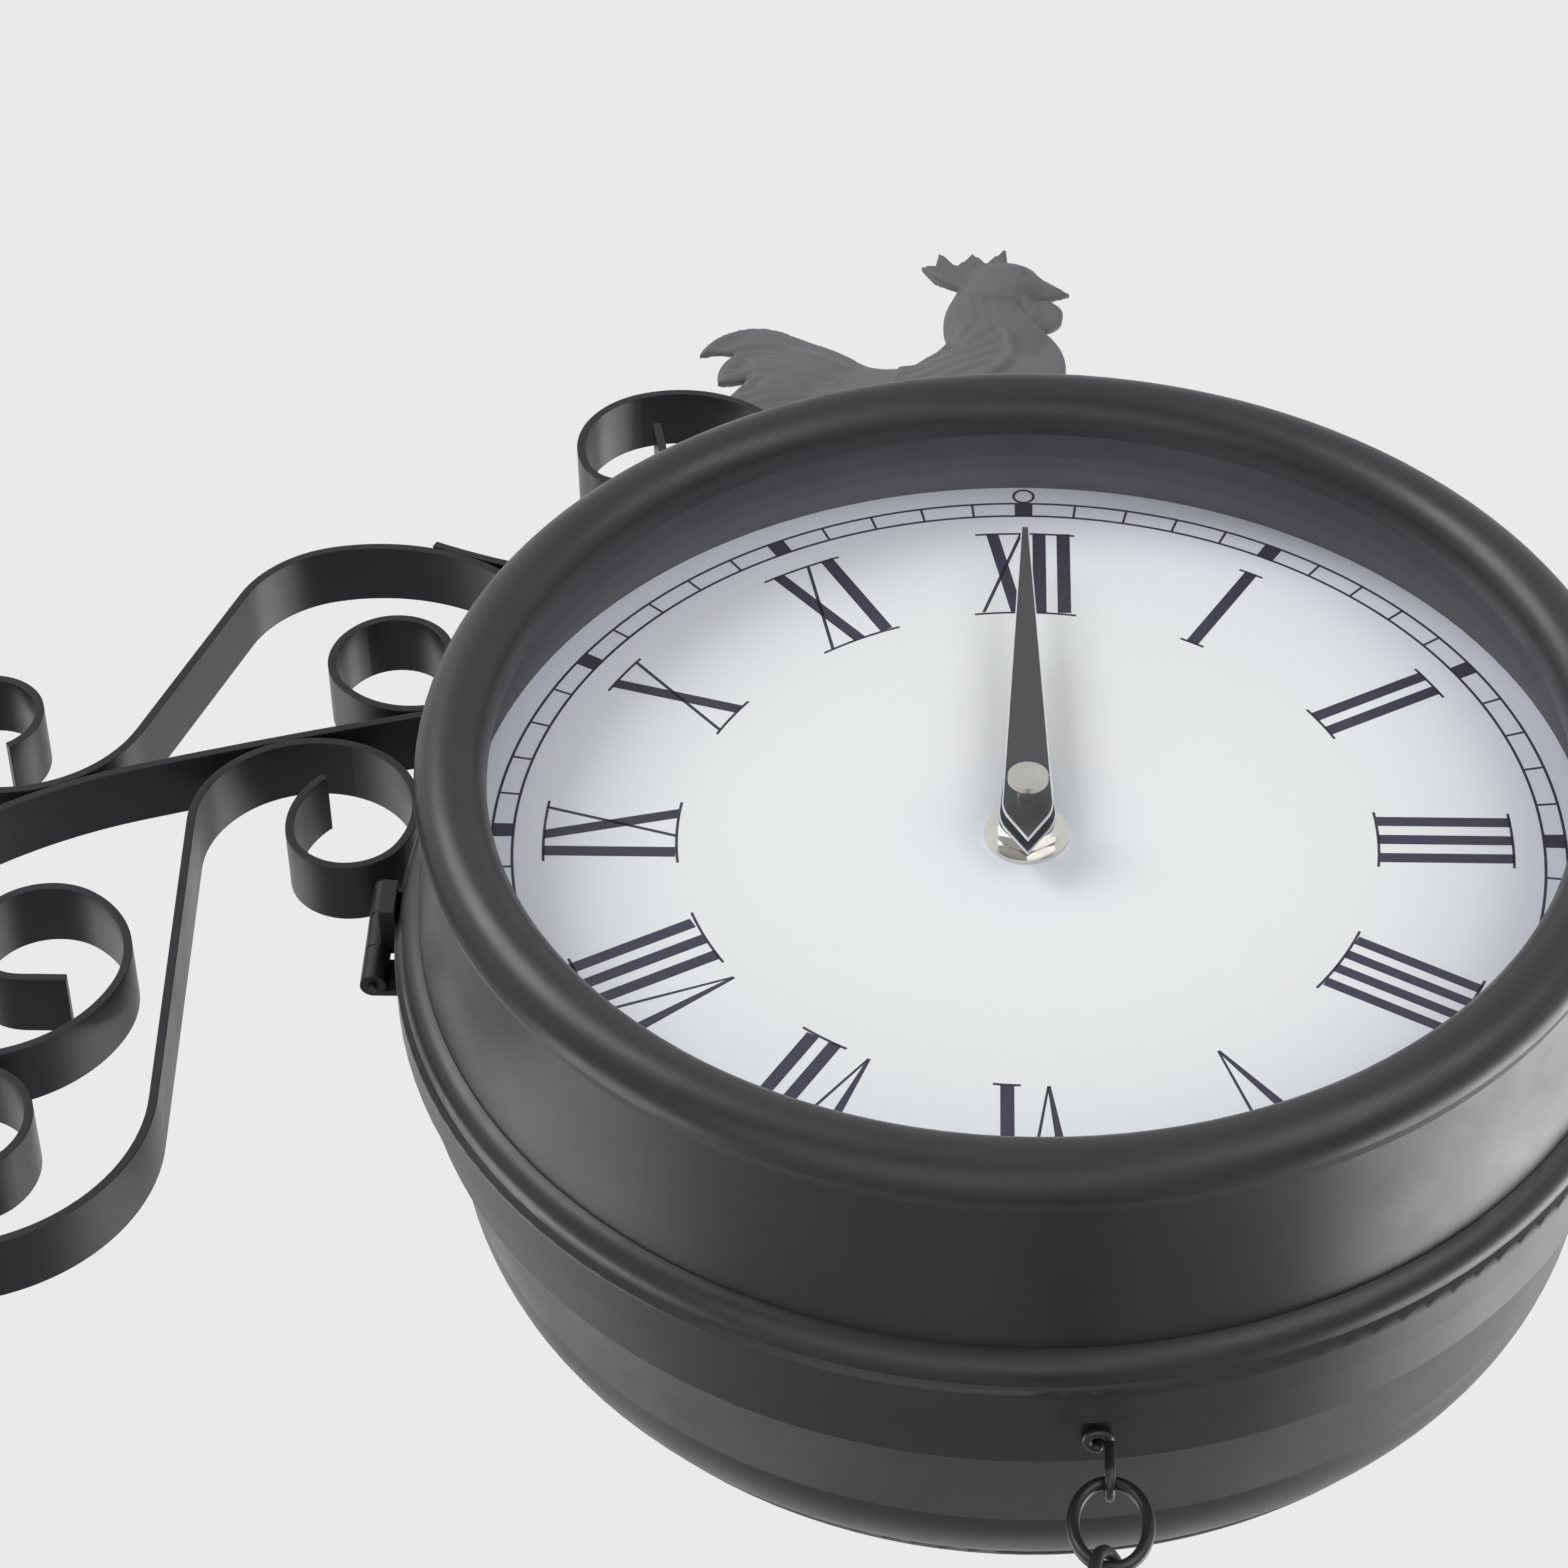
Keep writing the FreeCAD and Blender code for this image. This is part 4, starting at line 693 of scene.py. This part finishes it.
def lathe(bm, profile, segments=72, shape=None):
    """Closed ring turned about the dial's axis from (radius, depth) corners."""
    rings = []
    for k in range(segments):
        a = 2 * math.pi * k / segments
        ring = []
        for r, y in profile:
            if shape:
                r, y = shape(a, r, y)
            ring.append(bm.verts.new((r * math.cos(a), y, r * math.sin(a))))
        rings.append(ring)
    size = len(profile)
    for k in range(segments):
        ring_a, ring_b = rings[k], rings[(k + 1) % segments]
        for i in range(size):
            j = (i + 1) % size
            bm.faces.new((ring_a[i], ring_a[j], ring_b[j], ring_b[i]))


NUT_BORE, NUT_FACE, NUT_SIDE = 4.04, 4.6, 5.2       # radii that the nut's profile is drawn with
NUT_FLAT, NUT_TURNED, NUT_MIDDLE = 4.7, 4.62, -1.94


def nut_shape(a, r, y):
    """Hexagon with its corners turned off at both ends."""
    if r < NUT_FACE - 0.1:
        return r, y
    flat = NUT_FLAT / math.cos((a + math.pi / 6) % (math.pi / 3) - math.pi / 6)
    if r > NUT_FACE + 0.4:
        drop = max(0.0, flat - NUT_TURNED) * 0.58
        return flat, (y + drop if y < NUT_MIDDLE else y - drop)
    return NUT_TURNED, y


for side, shift, turn in (("front", DIAL, False), ("rear", REAR, True)):
    long_hand = minute_line(4.0, 71.4, 10.1, 0.5)
    blade(side + "_minute_blade", long_hand, -8.60, -8.14, side + "_minutes", shift, turn,
          side + "_minute_hand")
    cut_edge(side + "_minute_edge", long_hand, -8.62, -8.12, 0.16, side + "_minutes", shift,
             turn)
    cut_edge(side + "_hour_edge", hour_line(4.5, 50.0, 10.8, 9.0), -6.32, -5.82, 0.16,
             side + "_hours", shift, turn)
    host = "front_door" if side == "front" else "bracket"
    bm = bmesh.new()
    thread = [(2.66, -3.06), (2.66, -4.23), (3.75, -4.23)]
    for k in range(3):
        thread += [(4.03, -4.1 + 0.35 * k), (3.82, -3.93 + 0.35 * k)]
    thread += [(3.95, -3.06)]
    lathe(bm, thread)
    put(side + "_thread", bm, BRASS, host, False, shift, turn)
    bm = bmesh.new()
    lathe(bm, ((NUT_BORE, -0.86), (NUT_BORE, -3.02), (NUT_FACE, -3.04), (NUT_SIDE, -3.04),
               (NUT_SIDE, -0.84), (NUT_FACE, -0.84)), 96, nut_shape)
    put(side + "_hex_nut", bm, STEEL, host, False, shift, turn, (side + "_nut",))


# ------------------------------------------------------------------ chain links
LINK_WIRE, LINK_HALF = 2.1, 5.75       # wire, and half the width between the wire's middles
LINKS = ((1, 0.0, "link_one"), (2, 60.0, "link_two"), (3, 150.0, "link_three"))
ROUND, AROUND = 64, 20
for number, plane, body in LINKS:
    lo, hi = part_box("chain_link_%d" % number)
    middle = ((lo + hi) / 2 - DIAL) / MM
    tall = (hi.z - lo.z) / MM / 2 - LINK_WIRE / 2
    along = Vector((math.cos(math.radians(plane)), math.sin(math.radians(plane)), 0))
    across = Vector((-along.y, along.x, 0))
    bm = bmesh.new()
    loops = []
    for k in range(ROUND):
        a = 2 * math.pi * k / ROUND
        wide, high = LINK_HALF * math.cos(a), tall * math.sin(a)
        out_dir = along * math.cos(a) * tall + Vector((0, 0, math.sin(a) * LINK_HALF))
        out_dir.normalize()
        here = middle + along * wide + Vector((0, 0, high))
        loops.append([bm.verts.new(here + (out_dir * math.cos(b) + across * math.sin(b))
                                   * LINK_WIRE / 2)
                      for b in (2 * math.pi * i / AROUND for i in range(AROUND))])
    for k in range(ROUND):
        loop_a, loop_b = loops[k], loops[(k + 1) % ROUND]
        for i in range(AROUND):
            j = (i + 1) % AROUND
            bm.faces.new((loop_a[i], loop_a[j], loop_b[j], loop_b[i]))
    put("chain_oval_%d" % number, bm, WIRE, body,
        hides=("chain_link_%d" % number,))


# ------------------------------------------------------------------ floor, light, camera
mesh = bpy.data.meshes.new("floor")
FLOOR, FLOOR_Z = 9.0, -2.0
mesh.from_pydata([(-FLOOR, -FLOOR, FLOOR_Z), (FLOOR, -FLOOR, FLOOR_Z), (FLOOR, FLOOR, FLOOR_Z),
                  (-FLOOR, FLOOR, FLOOR_Z)], [], [(0, 1, 2, 3)])
floor = bpy.data.objects.new("floor", mesh)
bpy.context.scene.collection.objects.link(floor)
mat, tree, shader = new_mat("floor_pale")
tree.links.new(ramp(tree, noise(tree, 3.0, 2.0), ((0.3, (0.90, 0.90, 0.90)),
                                                    (0.7, (0.93, 0.93, 0.93)))),
               shader.inputs["Base Color"])
shader.inputs["Roughness"].default_value = 0.9
mesh.materials.append(mat)

world = bpy.data.worlds.new("studio")
bpy.context.scene.world = world
world.use_nodes = True
tree = world.node_tree
tree.nodes.clear()
out = tree.nodes.new("ShaderNodeOutputWorld")
seen = tree.nodes.new("ShaderNodeBackground")
seen.inputs["Color"].default_value = (0.82, 0.82, 0.825, 1)
lit = tree.nodes.new("ShaderNodeBackground")
lit.inputs["Color"].default_value = (0.80, 0.81, 0.83, 1)
lit.inputs["Strength"].default_value = 0.50
path = tree.nodes.new("ShaderNodeLightPath")
mix = tree.nodes.new("ShaderNodeMixShader")
sharp = None
for ray in ("Is Camera Ray", "Is Glossy Ray", "Is Transmission Ray"):
    if sharp is None:
        sharp = path.outputs[ray]
        continue
    either = tree.nodes.new("ShaderNodeMath")
    either.operation = "MAXIMUM"
    tree.links.new(sharp, either.inputs[0])
    tree.links.new(path.outputs[ray], either.inputs[1])
    sharp = either.outputs[0]
tree.links.new(sharp, mix.inputs[0])
tree.links.new(lit.outputs[0], mix.inputs[1])
tree.links.new(seen.outputs[0], mix.inputs[2])
tree.links.new(mix.outputs[0], out.inputs[0])


def area(name, place, target, width, height, power):
    """Rectangular lamp that faces its target."""
    data = bpy.data.lights.new(name, "AREA")
    data.shape = "RECTANGLE"
    data.size = width
    data.size_y = height
    data.energy = power
    lamp = bpy.data.objects.new(name, data)
    bpy.context.scene.collection.objects.link(lamp)
    lamp.location = place
    lamp.rotation_euler = (target - place).to_track_quat("-Z", "Y").to_euler()


# place from the dial's middle, width, height, power
LAMPS = {
    "key": ((-1.3, -1.4, 0.7), 1.0, 1.0, 19.0),
    "fill": ((1.0, -1.3, -0.4), 1.0, 1.4, 9.0),
    "right": ((1.3, 0.9, -0.1), 0.6, 1.4, 14.0),
    "left": ((-1.4, 0.7, -0.2), 0.5, 1.4, 8.0),
    "under": ((-0.2, -0.5, -0.85), 1.4, 0.8, 3.0),
}
for name, (offset, width, height, power) in LAMPS.items():
    area(name, DIAL + Vector(offset), DIAL, width, height, power)

EYE = Vector((-13.6936, -509.0656, -559.6707)) * MM   # from the dial's middle
LOOK = Matrix(((0.99932231, -0.01066178, 0.03523141),
               (0.01545515, -0.74714588, -0.66448037),
               (0.03340755, 0.66457457, -0.74647477)))
cam_data = bpy.data.cameras.new("camera")
cam = bpy.data.objects.new("camera", cam_data)
bpy.context.scene.collection.objects.link(cam)
cam_data.sensor_width = 36.0
cam_data.lens = 104.582
cam_data.clip_start = 0.02
cam_data.clip_end = 30.0
cam.matrix_world = Matrix.Translation(DIAL + EYE) @ LOOK.to_4x4()
bpy.context.scene.camera = cam

scene = bpy.context.scene
scene.view_settings.view_transform = "Standard"
